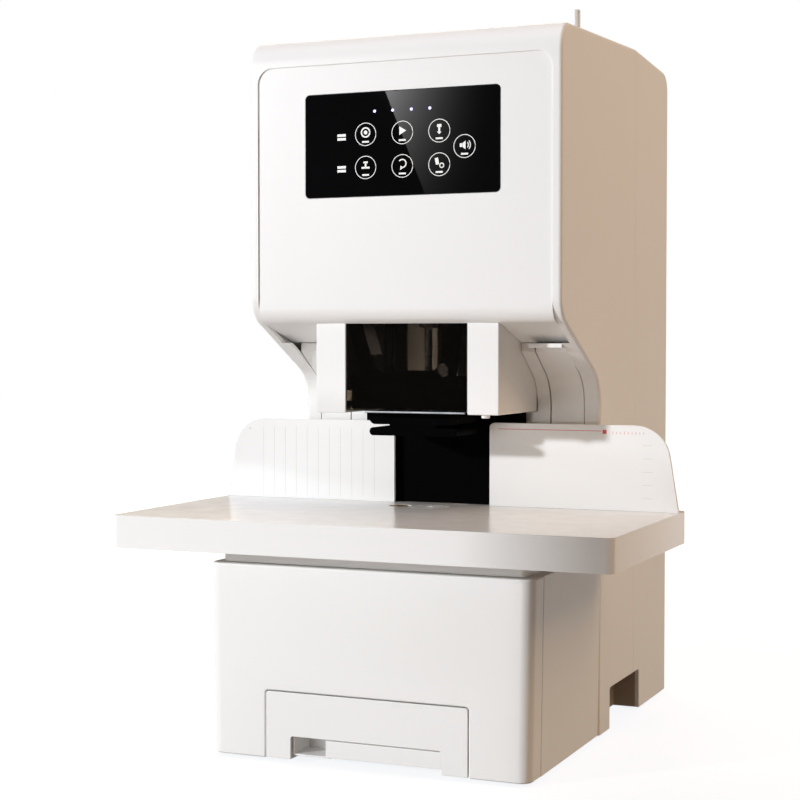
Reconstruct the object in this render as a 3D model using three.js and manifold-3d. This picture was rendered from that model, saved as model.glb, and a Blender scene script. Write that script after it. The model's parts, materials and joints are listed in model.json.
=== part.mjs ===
// A desk machine that drills a stack of paper and closes the hole with a nylon rivet tube.
// Lengths are in millimetres. +X is the operator's right, +Y runs away from the operator and +Z is up.
// The origin is under the middle of the machine, on the surface that it stands on.
import * as THREE from 'three';
import { mergeVertices } from 'three/addons/utils/BufferGeometryUtils.js';
import Module from 'manifold-3d';

const wasm = await Module();
wasm.setup();

// General values

const seatGap = 0.3;          // between two pieces that rest on, or fit in, each other
const shaftGap = 0.15;        // round a shaft in its bore
const runGap = 0.6;           // round a piece that slides
const overrun = 30;           // how far a cutting tool reaches past the piece it cuts
const coverWall = 3;          // moulded covers
const sheetWall = 2;          // pressed steel sheet
const plateWall = 12;         // cast frame plates
const smallArcSteps = 3;
const largeArcSteps = 8;
const largeArc = 9;           // arcs over this radius get the finer steps
const roundSides = 20;
const smallSides = 12;
const fullTurn = 360;         // degrees, as the joiner's rotate takes them

// Driving dimensions of the machine

const machineDepth = 395;
const frontY = -machineDepth / 2;
const rearY = machineDepth / 2;

const foot = {
  radius: 10, height: 2.2, insetX: 26.5, insetY: 22.5, studRadius: 3, studHeight: 4.5, chamfer: 0.8,
};

const table = {
  width: 384, depth: 198, top: 179.4, thickness: 24, cornerRadius: 6, edgeRadius: 2.2,
  plate: 3.6, rim: 3, ribThickness: 3, ribCount: 3, ribDepth: 14,
};
const tableUnder = table.top - table.thickness;
const tableRearY = frontY + table.depth;

const column = {
  tableOverlap: 4.5, coverWall: 2.5, coverRise: 120.6, coverReach: 38, trimInner: 85.7, bendDrop: 3,
};
const columnCoverTop = table.top + column.coverRise;
const columnY = tableRearY - column.tableOverlap;

const head = {
  width: 251, frontReach: 98.5, frontRise: 357.6, ridgeRise: 366.6, rearRise: 359.6,
  topFrontRadius: 15, topCornerRadius: 11, sideEdgeRadius: 2.6, rearTopRadius: 8, rearFootRadius: 5,
  lowFrontRise: 150.6, lowFrontRadius: 24, bendRise: 97.6, throatBendRadius: 30,
  rimWidth: 12.5, rimTopDrop: 18, rimCornerRadius: 12, seamBehind: 98,
};
const frontTop = table.top + head.frontRise;
const ridgeTop = table.top + head.ridgeRise;
const rearTop = table.top + head.rearRise;
const lowFront = table.top + head.lowFrontRise;
const throatBend = table.top + head.bendRise;
const headFrontY = columnY - head.frontReach;
const seamY = columnY + head.seamBehind;
const headHalf = head.width / 2;

const bodyBottom = foot.height + seatGap;

const base = {
  width: 253, draftShare: 0.016, coverSetback: 30, coverDrop: 10.9, sideReturn: 25, cornerRadius: 9,
  edgeRadius: 3, collarInset: 8, coverLip: 7.2,
};
const coverTop = tableUnder - base.coverDrop;
const baseFrontY = frontY + base.coverSetback;
const coverEndY = baseFrontY + base.sideReturn;
const collarY = baseFrontY + base.coverLip + seatGap;

const drill = { reach: 41.5, bitRadius: 3, bitBore: 2.2, tipRise: 60.1, bitPoint: 3 };
const bitTip = table.top + drill.tipRise;
const drillY = columnY - drill.reach;

// Solids and outlines

function toSolid(geometry) {
  const bare = geometry.clone();
  bare.deleteAttribute('normal');
  bare.deleteAttribute('uv');
  const merged = mergeVertices(bare);
  const corners = [...merged.index.array];
  const kept = [];
  for (let i = 0; i < corners.length; i += 3) {
    const [a, b, c] = corners.slice(i, i + 3);
    if (a !== b && b !== c && c !== a) kept.push(a, b, c);
  }
  const vertProperties = new Float32Array(merged.attributes.position.array);
  return new wasm.Manifold(new wasm.Mesh({ numProp: 3, vertProperties, triVerts: new Uint32Array(kept) }));
}

function join(first, ...others) {
  return others.reduce((sum, next) => sum.add(next), first);
}

function cut(first, ...others) {
  return others.reduce((rest, next) => rest.subtract(next), first);
}

// A block between two places on each axis.
function block([x0, x1], [y0, y1], [z0, z1]) {
  const box = new THREE.BoxGeometry(x1 - x0, y1 - y0, z1 - z0);
  return toSolid(box.translate((x0 + x1) / 2, (y0 + y1) / 2, (z0 + z1) / 2));
}

// A span of a length, with its middle at a place.
function about(middle, length) {
  return [middle - length / 2, middle + length / 2];
}

// The points of an outline: each corner is [u, v, radius], and a radius turns the corner into an arc.
function rounded(corners) {
  const points = [];
  corners.forEach(([u, v, radius = 0], i) => {
    const at = new THREE.Vector2(u, v);
    if (radius <= 0) {
      points.push(at);
      return;
    }
    const before = new THREE.Vector2(...corners.at(i - 1)).sub(at).normalize();
    const after = new THREE.Vector2(...corners[(i + 1) % corners.length]).sub(at).normalize();
    const half = Math.acos(before.dot(after)) / 2;
    const start = at.clone().addScaledVector(before, radius / Math.tan(half));
    const end = at.clone().addScaledVector(after, radius / Math.tan(half));
    const centre = before.clone().add(after).normalize().multiplyScalar(radius / Math.sin(half)).add(at);
    const from = start.clone().sub(centre);
    const to = end.clone().sub(centre);
    const sweep = Math.atan2(from.cross(to), from.dot(to));
    const steps = radius > largeArc ? largeArcSteps : smallArcSteps;
    for (let k = 0; k <= steps; k++) {
      const turned = from.clone().rotateAround(new THREE.Vector2(), (sweep * k) / steps);
      points.push(turned.add(centre));
    }
  });
  return points;
}

// The same corners, moved to the left of the way they run, with each radius changed to stay concentric.
function offset(corners, distance, closed) {
  const count = corners.length;
  const side = (i) => {
    const [u0, v0] = corners[(i + count) % count];
    const [u1, v1] = corners[(i + 1) % count];
    const along = new THREE.Vector2(u1 - u0, v1 - v0).normalize();
    return { along, left: new THREE.Vector2(-along.y, along.x) };
  };
  return corners.map(([u, v, radius = 0], i) => {
    const last = closed || i < count - 1 ? side(i) : side(i - 1);
    const first = closed || i > 0 ? side(i - 1) : last;
    const middle = first.left.clone().add(last.left).normalize();
    const move = distance / middle.dot(last.left);
    const turn = first.along.cross(last.along);
    const kept = radius > 0 ? Math.max(radius - Math.sign(turn) * distance, 0) : 0;
    return [u + middle.x * move, v + middle.y * move, kept];
  });
}

// A strip of one thickness along an open run of corners.
function strip(corners, thickness) {
  const inner = offset(corners, thickness, false);
  return rounded([...corners, ...inner.reverse()]);
}

function rectangle([u0, u1], [v0, v1], radius = 0) {
  return rounded([[u0, v0, radius], [u1, v0, radius], [u1, v1, radius], [u0, v1, radius]]);
}

// How an outline (u, v) and its depth w lie in the machine, for each way that it can be extruded.
const alongX = new THREE.Vector3(1, 0, 0);
const alongY = new THREE.Vector3(0, 1, 0);
const alongZ = new THREE.Vector3(0, 0, 1);
const lay = {
  x: new THREE.Matrix4().makeBasis(alongY, alongZ, alongX),
  y: new THREE.Matrix4().makeBasis(alongZ, alongX, alongY),
  z: new THREE.Matrix4(),
};

// An outline carried along an axis. Along x it is in (y, z), along y in (z, x) and along z in (x, y).
function prism(points, axis, [from, to], edgeRadius = 0) {
  const shape = new THREE.Shape(points);
  const settings = {
    depth: to - from - 2 * edgeRadius, bevelEnabled: edgeRadius > 0, bevelThickness: edgeRadius,
    bevelSize: edgeRadius, bevelOffset: -edgeRadius, bevelSegments: smallArcSteps,
  };
  const geometry = new THREE.ExtrudeGeometry(shape, settings);
  geometry.translate(0, 0, from + edgeRadius);
  return toSolid(geometry.applyMatrix4(lay[axis]));
}

// A profile of [radius, height] points, anticlockwise, turned about an upright axis at (x, y).
function turned(profile, [x, y], sides = roundSides) {
  const points = profile.map(([radius, height]) => new THREE.Vector2(radius, height));
  points.push(points[0].clone());
  const geometry = new THREE.LatheGeometry(points, sides);
  return toSolid(geometry.rotateX(Math.PI / 2).translate(x, y, 0));
}

function rod(radius, [z0, z1], place, sides = roundSides) {
  return turned([[0, z0], [radius, z0], [radius, z1], [0, z1]], place, sides);
}

function ring(outer, inner, [z0, z1], place, sides = roundSides) {
  return turned([[inner, z0], [outer, z0], [outer, z1], [inner, z1]], place, sides);
}

// A turned piece laid over, so that it stands along +Y at (x, z).
function turnedAlongY(profile, [x, z], sides = roundSides) {
  const points = profile.map(([radius, height]) => new THREE.Vector2(radius, height));
  points.push(points[0].clone());
  return toSolid(new THREE.LatheGeometry(points, sides).translate(x, 0, z));
}

function rodAlongY(radius, [y0, y1], place, sides = roundSides) {
  return turnedAlongY([[0, y0], [radius, y0], [radius, y1], [0, y1]], place, sides);
}

function mirrored(solid) {
  return solid.mirror([1, 0, 0]);
}

const machine = new THREE.Group();

const finishes = {
  whiteShell: { color: 0xf1f0ee, roughness: 0.42, metalness: 0 },
  whiteTable: { color: 0xf3f2f0, roughness: 0.2, metalness: 0 },
  blackPlastic: { color: 0x101010, roughness: 0.45, metalness: 0 },
  blackGlass: { color: 0x0a0a0c, roughness: 0.06, metalness: 0 },
  smoked: { color: 0x2a2522, roughness: 0.08, metalness: 0 },
  castIron: { color: 0x55585c, roughness: 0.6, metalness: 0.7 },
  steel: { color: 0xc4c6c8, roughness: 0.28, metalness: 1 },
  darkSteel: { color: 0x3a3a3c, roughness: 0.4, metalness: 1 },
  brass: { color: 0xb8934f, roughness: 0.35, metalness: 1 },
  aluminium: { color: 0xb9bcbf, roughness: 0.4, metalness: 1 },
  board: { color: 0x1f6a3c, roughness: 0.5, metalness: 0 },
  rubber: { color: 0x1b1b1b, roughness: 0.85, metalness: 0 },
  nylon: { color: 0xe9ecec, roughness: 0.35, metalness: 0 },
};

function add(name, solid, finish) {
  const made = solid.getMesh();
  const stride = made.numProp;
  const places = new Float32Array(made.numVert * 3);
  for (let i = 0; i < made.numVert; i++) {
    places.set(made.vertProperties.subarray(i * stride, i * stride + 3), i * 3);
  }
  const geometry = new THREE.BufferGeometry();
  geometry.setAttribute('position', new THREE.BufferAttribute(places, 3));
  geometry.setIndex(new THREE.BufferAttribute(new Uint32Array(made.triVerts), 1));
  geometry.computeVertexNormals();
  const mesh = new THREE.Mesh(geometry, new THREE.MeshStandardMaterial(finishes[finish]));
  mesh.name = name;
  machine.add(mesh);
}

// Narrows a base cover towards the floor, so that its sides have the draft of a moulding.
function drafted(solid) {
  return solid.warp((v) => {
    v[0] *= 1 - base.draftShare * (1 - v[2] / coverTop);
  });
}

// Lets the top fall away from the ridge, to the front and to the rear. Everything that curves into the top
// moves down with it, so that its corners keep their radius.
function slopedTop(solid) {
  const curveStart = ridgeTop - Math.max(head.topFrontRadius, head.topCornerRadius) - seatGap;
  return solid.warp((v) => {
    if (v[2] < curveStart) return;
    const ahead = Math.max((seamY - v[1]) / (seamY - headFrontY), 0);
    const behind = Math.max((v[1] - seamY) / (rearY - seamY), 0);
    v[2] -= ahead * (ridgeTop - frontTop) + behind * (ridgeTop - rearTop);
  });
}

// Body: the side profile that the surround and the rear cover share. Its top is level at the ridge here.

function bodyCorners(inset, floor) {
  const corners = [
    [columnY, floor],
    [rearY, floor, head.rearFootRadius],
    [rearY, ridgeTop, head.rearTopRadius],
    [headFrontY, ridgeTop, head.topFrontRadius],
    [headFrontY, lowFront, head.lowFrontRadius],
    [columnY, throatBend, head.throatBendRadius],
  ];
  return offset(corners, inset, true);
}

const bodySpan = about(0, head.width);
const frontOutline = rounded([
  [bodyBottom, -headHalf],
  [ridgeTop, -headHalf, head.topCornerRadius],
  [ridgeTop, headHalf, head.topCornerRadius],
  [bodyBottom, headHalf],
]);
const bodyForm = prism(rounded(bodyCorners(0, bodyBottom)), 'x', bodySpan, head.sideEdgeRadius)
  .intersect(prism(frontOutline, 'y', [frontY, rearY]));
const insideSpan = about(0, head.width - 2 * coverWall);
const insideForm = prism(rounded(bodyCorners(coverWall, bodyBottom - overrun)), 'x', insideSpan);
const bodyInside = insideForm.intersect(prism(rounded([
  [bodyBottom - overrun, -headHalf + coverWall],
  [ridgeTop - coverWall, -headHalf + coverWall, head.topCornerRadius - coverWall],
  [ridgeTop - coverWall, headHalf - coverWall, head.topCornerRadius - coverWall],
  [bodyBottom - overrun, headHalf - coverWall],
]), 'y', [frontY, rearY]));

const openingHalf = headHalf - head.rimWidth;
const openingTop = frontTop - head.rimTopDrop;

// Hand holds under both sides, for carrying the machine
const hold = { behind: 28.5, length: 86, height: 35, depth: 42, cornerRadius: 3 };
const holdSpan = [columnY + hold.behind, columnY + hold.behind + hold.length];
const holdCut = prism(rounded([
  [holdSpan[0], bodyBottom - overrun],
  [holdSpan[1], bodyBottom - overrun],
  [holdSpan[1], hold.height, hold.cornerRadius],
  [holdSpan[0], hold.height, hold.cornerRadius],
]), 'x', about(0, head.width + overrun));

// Rivet tube and its feed, in the right of the head
const tube = {
  x: 98, behind: 21.5, radius: 3.5, bore: 2.2, length: 150, standing: 24, tipRadius: 1.2, tipShare: 0.25,
  collarRadius: 9.5, collarHeight: 3, sleeveRadius: 6.2, sleeveWall: 1.6, sleeveLength: 46, collarCone: 2,
};
const tubeY = columnY + tube.behind;
const tubePlace = [tube.x, tubeY];
const topSlope = (ridgeTop - frontTop) / (seamY - headFrontY);
const topAtTube = frontTop + topSlope * (tubeY - headFrontY);
const collarBottom = topAtTube + topSlope * tube.collarRadius + seatGap;

const surroundSpan = [frontY, seamY];
const tableSlot = block(
  about(0, head.width + overrun),
  [frontY, tableRearY + seatGap],
  [tableUnder - seatGap, table.top + seatGap],
);
const frontOpening = prism(rounded([
  [bodyBottom - overrun, -openingHalf],
  [openingTop, -openingHalf, head.rimCornerRadius],
  [openingTop, openingHalf, head.rimCornerRadius],
  [bodyBottom - overrun, openingHalf],
]), 'y', [frontY, columnY + coverWall + seatGap]);
add('body_surround', cut(
  slopedTop(cut(
    bodyForm.intersect(block(about(0, head.width + overrun), surroundSpan, [0, ridgeTop + overrun])),
    bodyInside,
    frontOpening,
  )),
  tableSlot,
  holdCut,
  rod(tube.sleeveRadius + seatGap, about(topAtTube, overrun), tubePlace),
), 'whiteShell');

// Rear cover, with its air slots, inlet and switch

const fan = {
  size: 60, depth: 20, rise: 150.6, boreRadius: 27.5, bladeRadius: 26.4, hubRadius: 11, hubDepth: 13,
  bladeCount: 7, bladeThickness: 1.6, bladeDepth: 10, bladeTilt: 40,
  seatRadius: 12, seatDepth: 4, pinRadius: 2.4, strutWidth: 4,
  strutCount: 3, cornerRadius: 4,
};
const fanZ = table.top + fan.rise;
const slots = { width: 3.4, length: 52, pitch: 8, rows: 7, cornerRadius: 1.1 };
const inlet = {
  x: -70, z: 72, width: 28, height: 24, depth: 26, flange: 4, flangeDepth: 3, cornerRadius: 2,
  cavityWidth: 24, cavityHeight: 17, cavityDepth: 17,
  pinWidth: 2, pinHeight: 4, pinLength: 14, pinPitch: 14, pinLift: 1, earthLift: 4,
};
const powerSwitch = {
  x: -28, width: 15, height: 22, depth: 16, flange: 2.5, flangeDepth: 3,
  cavityWidth: 11.2, cavityHeight: 19.2, cavityDepth: 14.5,
  pivotDepth: 6.5, rockerHalf: 7, rockerFront: 4.6, rockerProud: 1.2, rockerRear: 5,
};
const innerRearY = rearY - coverWall;
const coverFrontY = seamY + seatGap;
const rearOutline = block(about(0, head.width + overrun), [coverFrontY, rearY], [0, ridgeTop + overrun]);
const throughRear = [innerRearY - overrun, rearY + overrun];
const airSlots = [];
for (let i = 0; i < slots.rows; i++) {
  const z = fanZ + (i - (slots.rows - 1) / 2) * slots.pitch;
  const slot = rectangle(about(z, slots.width), about(0, slots.length), slots.cornerRadius);
  airSlots.push(prism(slot, 'y', throughRear));
}
function rearHole(x, width, height) {
  return block(about(x, width + 2 * seatGap), throughRear, about(inlet.z, height + 2 * seatGap));
}
add('rear_cover', cut(
  slopedTop(cut(bodyForm.intersect(rearOutline), bodyInside)),
  holdCut,
  ...airSlots,
  rearHole(inlet.x, inlet.width, inlet.height),
  rearHole(powerSwitch.x, powerSwitch.width, powerSwitch.height),
), 'whiteShell');

// Head front panel: a flat front, rounded under, that runs back to the column cover

const panel = { inset: 1.2, wall: 3, gap: 0.3, lowRise: 144.6, lowRadius: 13, rearRise: 127.6 };
const panelLowZ = table.top + panel.lowRise;
const panelRearZ = table.top + panel.rearRise;
const panelY = headFrontY + panel.inset;
const panelHalf = openingHalf - panel.gap;
const panelTop = openingTop - panel.gap;
const coverStartY = columnY - column.coverReach;
const neck = {
  width: 148.6, frontInset: 10.3, bottomRise: 74.1, topRise: 165.6, wall: 2.5, floor: 2.5, windowHalf: 49.5,
  stripWidth: 7, stripWall: 2.2, pegRadius: 3.2, pegHeight: 2.6, pegX: 62, pegInset: 6,
};
const neckBottom = table.top + neck.bottomRise;
const neckTop = table.top + neck.topRise;
const neckHalf = neck.width / 2;
const neckY = headFrontY + neck.frontInset;
const glass = { width: 157, height: 77.7, bottomRise: 237.1, thickness: 1.8, proud: 0.2, radius: 3.5, ledge: 8 };
const glassBottom = table.top + glass.bottomRise;
const glassSpan = [glassBottom, glassBottom + glass.height];
const panelForm = prism(strip([
  [panelY, panelTop],
  [panelY, panelLowZ, panel.lowRadius],
  [coverStartY - seatGap, panelRearZ],
], panel.wall), 'x', about(0, 2 * panelHalf));
const panelOutline = prism(rounded([
  [panelRearZ - overrun, -panelHalf],
  [panelTop, -panelHalf, head.rimCornerRadius - panel.gap],
  [panelTop, panelHalf, head.rimCornerRadius - panel.gap],
  [panelRearZ - overrun, panelHalf],
]), 'y', [frontY, rearY]);
const glassRear = panelY - glass.proud + glass.thickness;
const glassPocket = prism(rectangle(
  [glassSpan[0] - seatGap, glassSpan[1] + seatGap],
  about(0, glass.width + 2 * seatGap),
  glass.radius + seatGap,
), 'y', [frontY, glassRear + seatGap]);
const glassWindow = prism(rectangle(
  [glassSpan[0] + glass.ledge, glassSpan[1] - glass.ledge],
  about(0, glass.width - 2 * glass.ledge),
  glass.radius,
), 'y', [frontY, panelY + overrun]);
const neckCut = block(
  about(0, neck.width + 2 * seatGap),
  [neckY - seatGap, coverStartY + overrun],
  [neckBottom, neckTop],
);
const panelShell = panelForm.intersect(panelOutline);
add('head_front_panel', cut(panelShell, glassPocket, glassWindow, neckCut), 'whiteShell');

add('control_glass', prism(
  rectangle(glassSpan, about(0, glass.width), glass.radius),
  'y',
  [panelY - glass.proud, glassRear],
), 'blackGlass');

const board = { thickness: 1.6, margin: 4, chipDepth: 2.4, chipSize: 12, chipCount: 4, chipPitch: 30 };
const boardY = panelY + panel.wall + seatGap;
const boardZ = (glassSpan[0] + glassSpan[1]) / 2;
const boardChips = [];
for (let i = 0; i < board.chipCount; i++) {
  const x = (i - (board.chipCount - 1) / 2) * board.chipPitch;
  const chipSpan = [boardY, boardY + board.thickness + board.chipDepth];
  boardChips.push(block(about(x, board.chipSize), chipSpan, about(boardZ, board.chipSize)));
}
add('control_board', join(
  block(about(0, glass.width - 2 * board.margin), [boardY, boardY + board.thickness],
    [glassSpan[0] + board.margin, glassSpan[1] - board.margin]),
  ...boardChips,
), 'board');

// Column cover and its two trim strips, which follow the slope under the head down to the table

const columnPath = [
  [coverStartY, panelRearZ - panel.gap],
  [coverStartY, columnCoverTop],
  [columnY, throatBend - column.bendDrop, head.throatBendRadius],
  [columnY, table.top + seatGap],
];
const columnOutline = strip(columnPath, column.coverWall);
const neckWindow = block(
  about(0, neck.width + 2 * seatGap),
  [frontY, rearY],
  [neckBottom - seatGap, ridgeTop],
);
const trimHalf = column.trimInner - seatGap;
add('column_cover', cut(prism(columnOutline, 'x', about(0, 2 * trimHalf)), neckWindow), 'whiteShell');
const trimRight = prism(columnOutline, 'x', [column.trimInner, panelHalf]);
add('column_trim_right', trimRight, 'whiteShell');
add('column_trim_left', mirrored(trimRight), 'whiteShell');

// Neck housing: the hanging box that the drill works in

const rivet = {
  x: -24, radius: 6, tipRadius: 4.5, tipRise: 63.6, flangeRadius: 9, flangeHeight: 3.4, coneLength: 20,
};
const punchTip = table.top + rivet.tipRise;
const rivetPlace = [rivet.x, drillY];
const drillPlace = [0, drillY];
const presser = {
  halfWidth: 36, coreHalf: 20.5, bottomRise: 56.6, plate: 6.2, slot: 2.4, topRise: 73.5, rearInset: 9.5, length: 42,
  rodRadius: 4, rodX: 22, rodInset: 7, rodRise: 160.6, headRadius: 5.6, headHeight: 5, cornerRadius: 2.8,
  lowCorner: 5,
};
const presserBottom = table.top + presser.bottomRise;
const presserTop = table.top + presser.topRise;
const presserRodTop = table.top + presser.rodRise;
const presserSpan = [drillY + presser.rearInset - presser.length, drillY + presser.rearInset];
const presserRodY = presserSpan[0] + presser.rodInset;
const bitHole = drill.bitRadius + runGap;
const punchHole = rivet.radius + runGap;
const presserHole = presser.rodRadius + runGap / 2;
function mechanismHoles(span) {
  return [
    rod(bitHole, span, drillPlace),
    rod(punchHole, span, rivetPlace),
    rod(presserHole, span, [presser.rodX, presserRodY]),
    rod(presserHole, span, [-presser.rodX, presserRodY]),
  ];
}
const neckOuter = block(about(0, neck.width), [neckY, columnY - seatGap], [neckBottom, neckTop]);
const neckInner = block(
  about(0, neck.width - 2 * neck.wall),
  [neckY + neck.wall, columnY + overrun],
  [neckBottom + neck.floor, neckTop + overrun],
);
const neckWindowCut = block(
  about(0, 2 * neck.windowHalf),
  [neckY - overrun, neckY + neck.wall + overrun],
  [neckBottom - overrun, neckTop + overrun],
);
const floorFront = neckY + neck.wall + seatGap;
const neckFloor = block(
  about(0, neck.width - 2 * neck.wall),
  [floorFront, columnY - seatGap],
  [neckBottom, neckBottom + neck.floor],
);
function shieldRail(side) {
  const x0 = side * (neck.windowHalf - neck.stripWidth / 2);
  const x1 = side * (neckHalf - neck.wall / 2);
  const y0 = neckY + neck.wall + seatGap;
  const spanX = side > 0 ? [x0, x1] : [x1, x0];
  return block(spanX, [y0, y0 + neck.stripWall], [neckBottom, neckTop]);
}
function shieldRailWeb(side) {
  const x0 = side * (neck.windowHalf + seatGap);
  const x1 = side * (neckHalf - neck.wall / 2);
  const spanX = side > 0 ? [x0, x1] : [x1, x0];
  return block(spanX, [neckY + neck.wall / 2, floorFront + neck.stripWall], [neckBottom, neckTop]);
}
const pegSpan = [neckBottom - neck.pegHeight, neckBottom + neck.floor];
add('neck_housing', cut(
  join(
    cut(neckOuter, neckInner, neckWindowCut),
    neckFloor,
    shieldRail(1),
    shieldRail(-1),
    shieldRailWeb(1),
    shieldRailWeb(-1),
    rod(neck.pegRadius, pegSpan, [neck.pegX, neckY + neck.pegInset], smallSides),
  ),
  ...mechanismHoles([neckBottom - overrun, neckBottom + neck.floor + overrun]),
), 'whiteShell');

const shield = { thickness: 2.5, lip: 0.3, height: 82, cornerRadius: 2 };
const shieldBottom = neckBottom + shield.lip;
const shieldSpan = [shieldBottom, shieldBottom + shield.height];
add('safety_shield', prism(
  rectangle(shieldSpan, about(0, 2 * (neck.windowHalf - seatGap)), shield.cornerRadius),
  'y',
  [neckY, neckY + shield.thickness],
), 'smoked');

// Guard frame behind the shield, hung from the neck's sides, with an apron down to the neck's floor
const guard = {
  inset: 6.2, thickness: 6.9, topHalf: 36.5, lowHalf: 33, bottomRise: 98.6, barRise: 142.6, openRise: 106.6,
  openTopHalf: 22, openLowHalf: 20.5, radius: 9, apronWall: 1.6,
};
const guardBottom = table.top + guard.bottomRise;
const guardBarTop = table.top + guard.barRise;
const guardOpenBottom = table.top + guard.openRise;
const guardY = neckY + guard.inset;
const guardOutline = rounded([
  [guardBottom, -guard.lowHalf, guard.radius],
  [guardBarTop, -guard.topHalf],
  [guardBarTop, -neckHalf + neck.wall + seatGap],
  [neckTop, -neckHalf + neck.wall + seatGap],
  [neckTop, neckHalf - neck.wall - seatGap],
  [guardBarTop, neckHalf - neck.wall - seatGap],
  [guardBarTop, guard.topHalf],
  [guardBottom, guard.lowHalf, guard.radius],
]);
const guardWindow = rounded([
  [guardOpenBottom, -guard.openLowHalf, guard.radius],
  [guardBarTop, -guard.openTopHalf],
  [guardBarTop, guard.openTopHalf],
  [guardOpenBottom, guard.openLowHalf, guard.radius],
]);
const guardRear = guardY + guard.thickness;
const guardApron = block(
  about(0, 2 * (neck.windowHalf - seatGap)),
  [guardRear - guard.apronWall, guardRear],
  [neckBottom + neck.floor + seatGap, guardBottom + guard.radius / 2],
);
add('guard_frame', cut(
  join(prism(guardOutline, 'y', [guardY, guardRear]), guardApron),
  prism(guardWindow, 'y', [guardY - overrun, guardRear + overrun]),
), 'blackPlastic');

// Presser foot: it holds the paper down round the drill

const presserBottomTop = presserBottom + presser.plate;
const presserUpper = presserBottomTop + presser.slot;
const presserOutline = rounded([
  [presserBottom, -presser.halfWidth, presser.cornerRadius],
  [presserBottomTop, -presser.halfWidth, presser.cornerRadius],
  [presserBottomTop, -presser.coreHalf],
  [presserUpper, -presser.coreHalf],
  [presserUpper, -presser.halfWidth, presser.lowCorner],
  [presserTop, -presser.halfWidth],
  [presserTop, presser.halfWidth],
  [presserUpper, presser.halfWidth, presser.lowCorner],
  [presserUpper, presser.coreHalf],
  [presserBottomTop, presser.coreHalf],
  [presserBottomTop, presser.halfWidth, presser.cornerRadius],
  [presserBottom, presser.halfWidth, presser.cornerRadius],
]);
add('presser_foot', cut(
  prism(presserOutline, 'y', presserSpan),
  rod(bitHole, about(presserBottom, 2 * overrun), drillPlace),
  rod(punchHole, about(presserBottom, 2 * overrun), rivetPlace),
), 'blackPlastic');
for (const [side, name] of [[-1, 'left'], [1, 'right']]) {
  const rodFoot = presserTop + seatGap;
  const headFoot = presserRodTop - presser.headHeight;
  add(`presser_rod_${name}`, turned([
    [0, rodFoot], [presser.rodRadius, rodFoot], [presser.rodRadius, headFoot],
    [presser.headRadius, headFoot], [presser.headRadius, presserRodTop], [0, presserRodTop],
  ], [side * presser.rodX, presserRodY]), 'darkSteel');
}

// C-frame: the cast frame that carries the table, the guides and the lift

const frame = {
  width: 120, spineBehind: 26, armReach: 97.5, armGap: 0.4, upperArmRise: 325.6, upperArm: 10,
  upperReach: 108, rearReach: 62, footReach: 14, footHeight: 8, innerRadius: 8,
  windowWidth: 70, windowRadius: 8, windowHeight: 60,
};
const armTop = tableUnder - frame.armGap;
const upperArmTop = table.top + frame.upperArmRise;
const spineY = columnY + frame.spineBehind;
const panTop = bodyBottom + sheetWall;
const upperArmUnder = upperArmTop - frame.upperArm;
const frameOutline = rounded([
  [columnY - frame.armReach, armTop - plateWall],
  [spineY, armTop - plateWall, frame.innerRadius],
  [spineY, panTop + seatGap],
  [spineY + plateWall + frame.footReach, panTop + seatGap],
  [spineY + plateWall + frame.footReach, panTop + frame.footHeight],
  [spineY + plateWall, panTop + frame.footHeight],
  [spineY + plateWall, upperArmUnder, frame.innerRadius],
  [spineY + plateWall + frame.rearReach, upperArmUnder],
  [spineY + plateWall + frame.rearReach, upperArmTop],
  [spineY - frame.upperReach, upperArmTop],
  [spineY - frame.upperReach, upperArmUnder],
  [spineY, upperArmUnder, frame.innerRadius],
  [spineY, armTop, frame.innerRadius],
  [columnY - frame.armReach, armTop],
]);
const lift = {
  screwRadius: 5, screwBehind: 8, gearTeeth: 48, pinionTeeth: 16, module: 2, gearHeight: 8,
  motorRadius: 21, motorHeight: 64, shaftRadius: 4, gearGap: 3, motorCap: 6, capRadius: 12,
  gearWeb: 30, gearHub: 12, gearWebDepth: 2,
};
const screwY = columnY + lift.screwBehind;
const pinionY = screwY + (lift.module * (lift.gearTeeth + lift.pinionTeeth)) / 2;
const guide = {
  rodRadius: 5, rodX: 46, rodReach: 2, plateRise: 82.6, plate: 8, plateHalf: 61, plateRadius: 3,
  frontReach: 100, bearingRadius: 10, bearingHeight: 6,
};
const guidePlateBottom = table.top + guide.plateRise;
const chuck = { radius: 9, bottomRise: 138.6, topRise: 164.6, cone: 5 };
const chuckBottom = table.top + chuck.bottomRise;
const chuckTop = table.top + chuck.topRise;
const guideY = columnY - guide.rodReach;
const guidePlateTop = guidePlateBottom + guide.plate;
const chute = { radius: 9, wall: 1.5, flangeRadius: 11, flange: 3, bottom: 56 };
const die = { radius: 6, dimple: 1, heaterRadius: 8.4, heaterLength: 22 };
const bigCut = 2 * overrun;
const boardStuds = { x: 45, lowRise: 35.6, highRise: 185.6, radius: 3, length: 6 };
const studLowZ = table.top + boardStuds.lowRise;
const studHighZ = table.top + boardStuds.highRise;
const frameHoles = [
  rod(chute.radius - chute.wall, about(armTop, bigCut), drillPlace),
  rod(die.radius + seatGap, about(armTop, bigCut), rivetPlace),
  rod(lift.screwRadius + shaftGap, about(upperArmTop, bigCut), [0, screwY]),
  rod(lift.shaftRadius + shaftGap, about(upperArmTop, bigCut), [0, pinionY]),
];
const windowZ = about((armTop + panTop) / 2, frame.windowHeight);
const frameWindow = prism(
  rectangle(windowZ, about(0, frame.windowWidth), frame.windowRadius),
  'y',
  about(spineY, bigCut),
);
const studs = [];
for (const x of [-boardStuds.x, boardStuds.x]) {
  for (const z of [studLowZ, studHighZ]) {
    const studSpan = [spineY + plateWall / 2, spineY + plateWall + boardStuds.length];
    studs.push(rodAlongY(boardStuds.radius, studSpan, [x, z], smallSides));
  }
}
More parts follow.
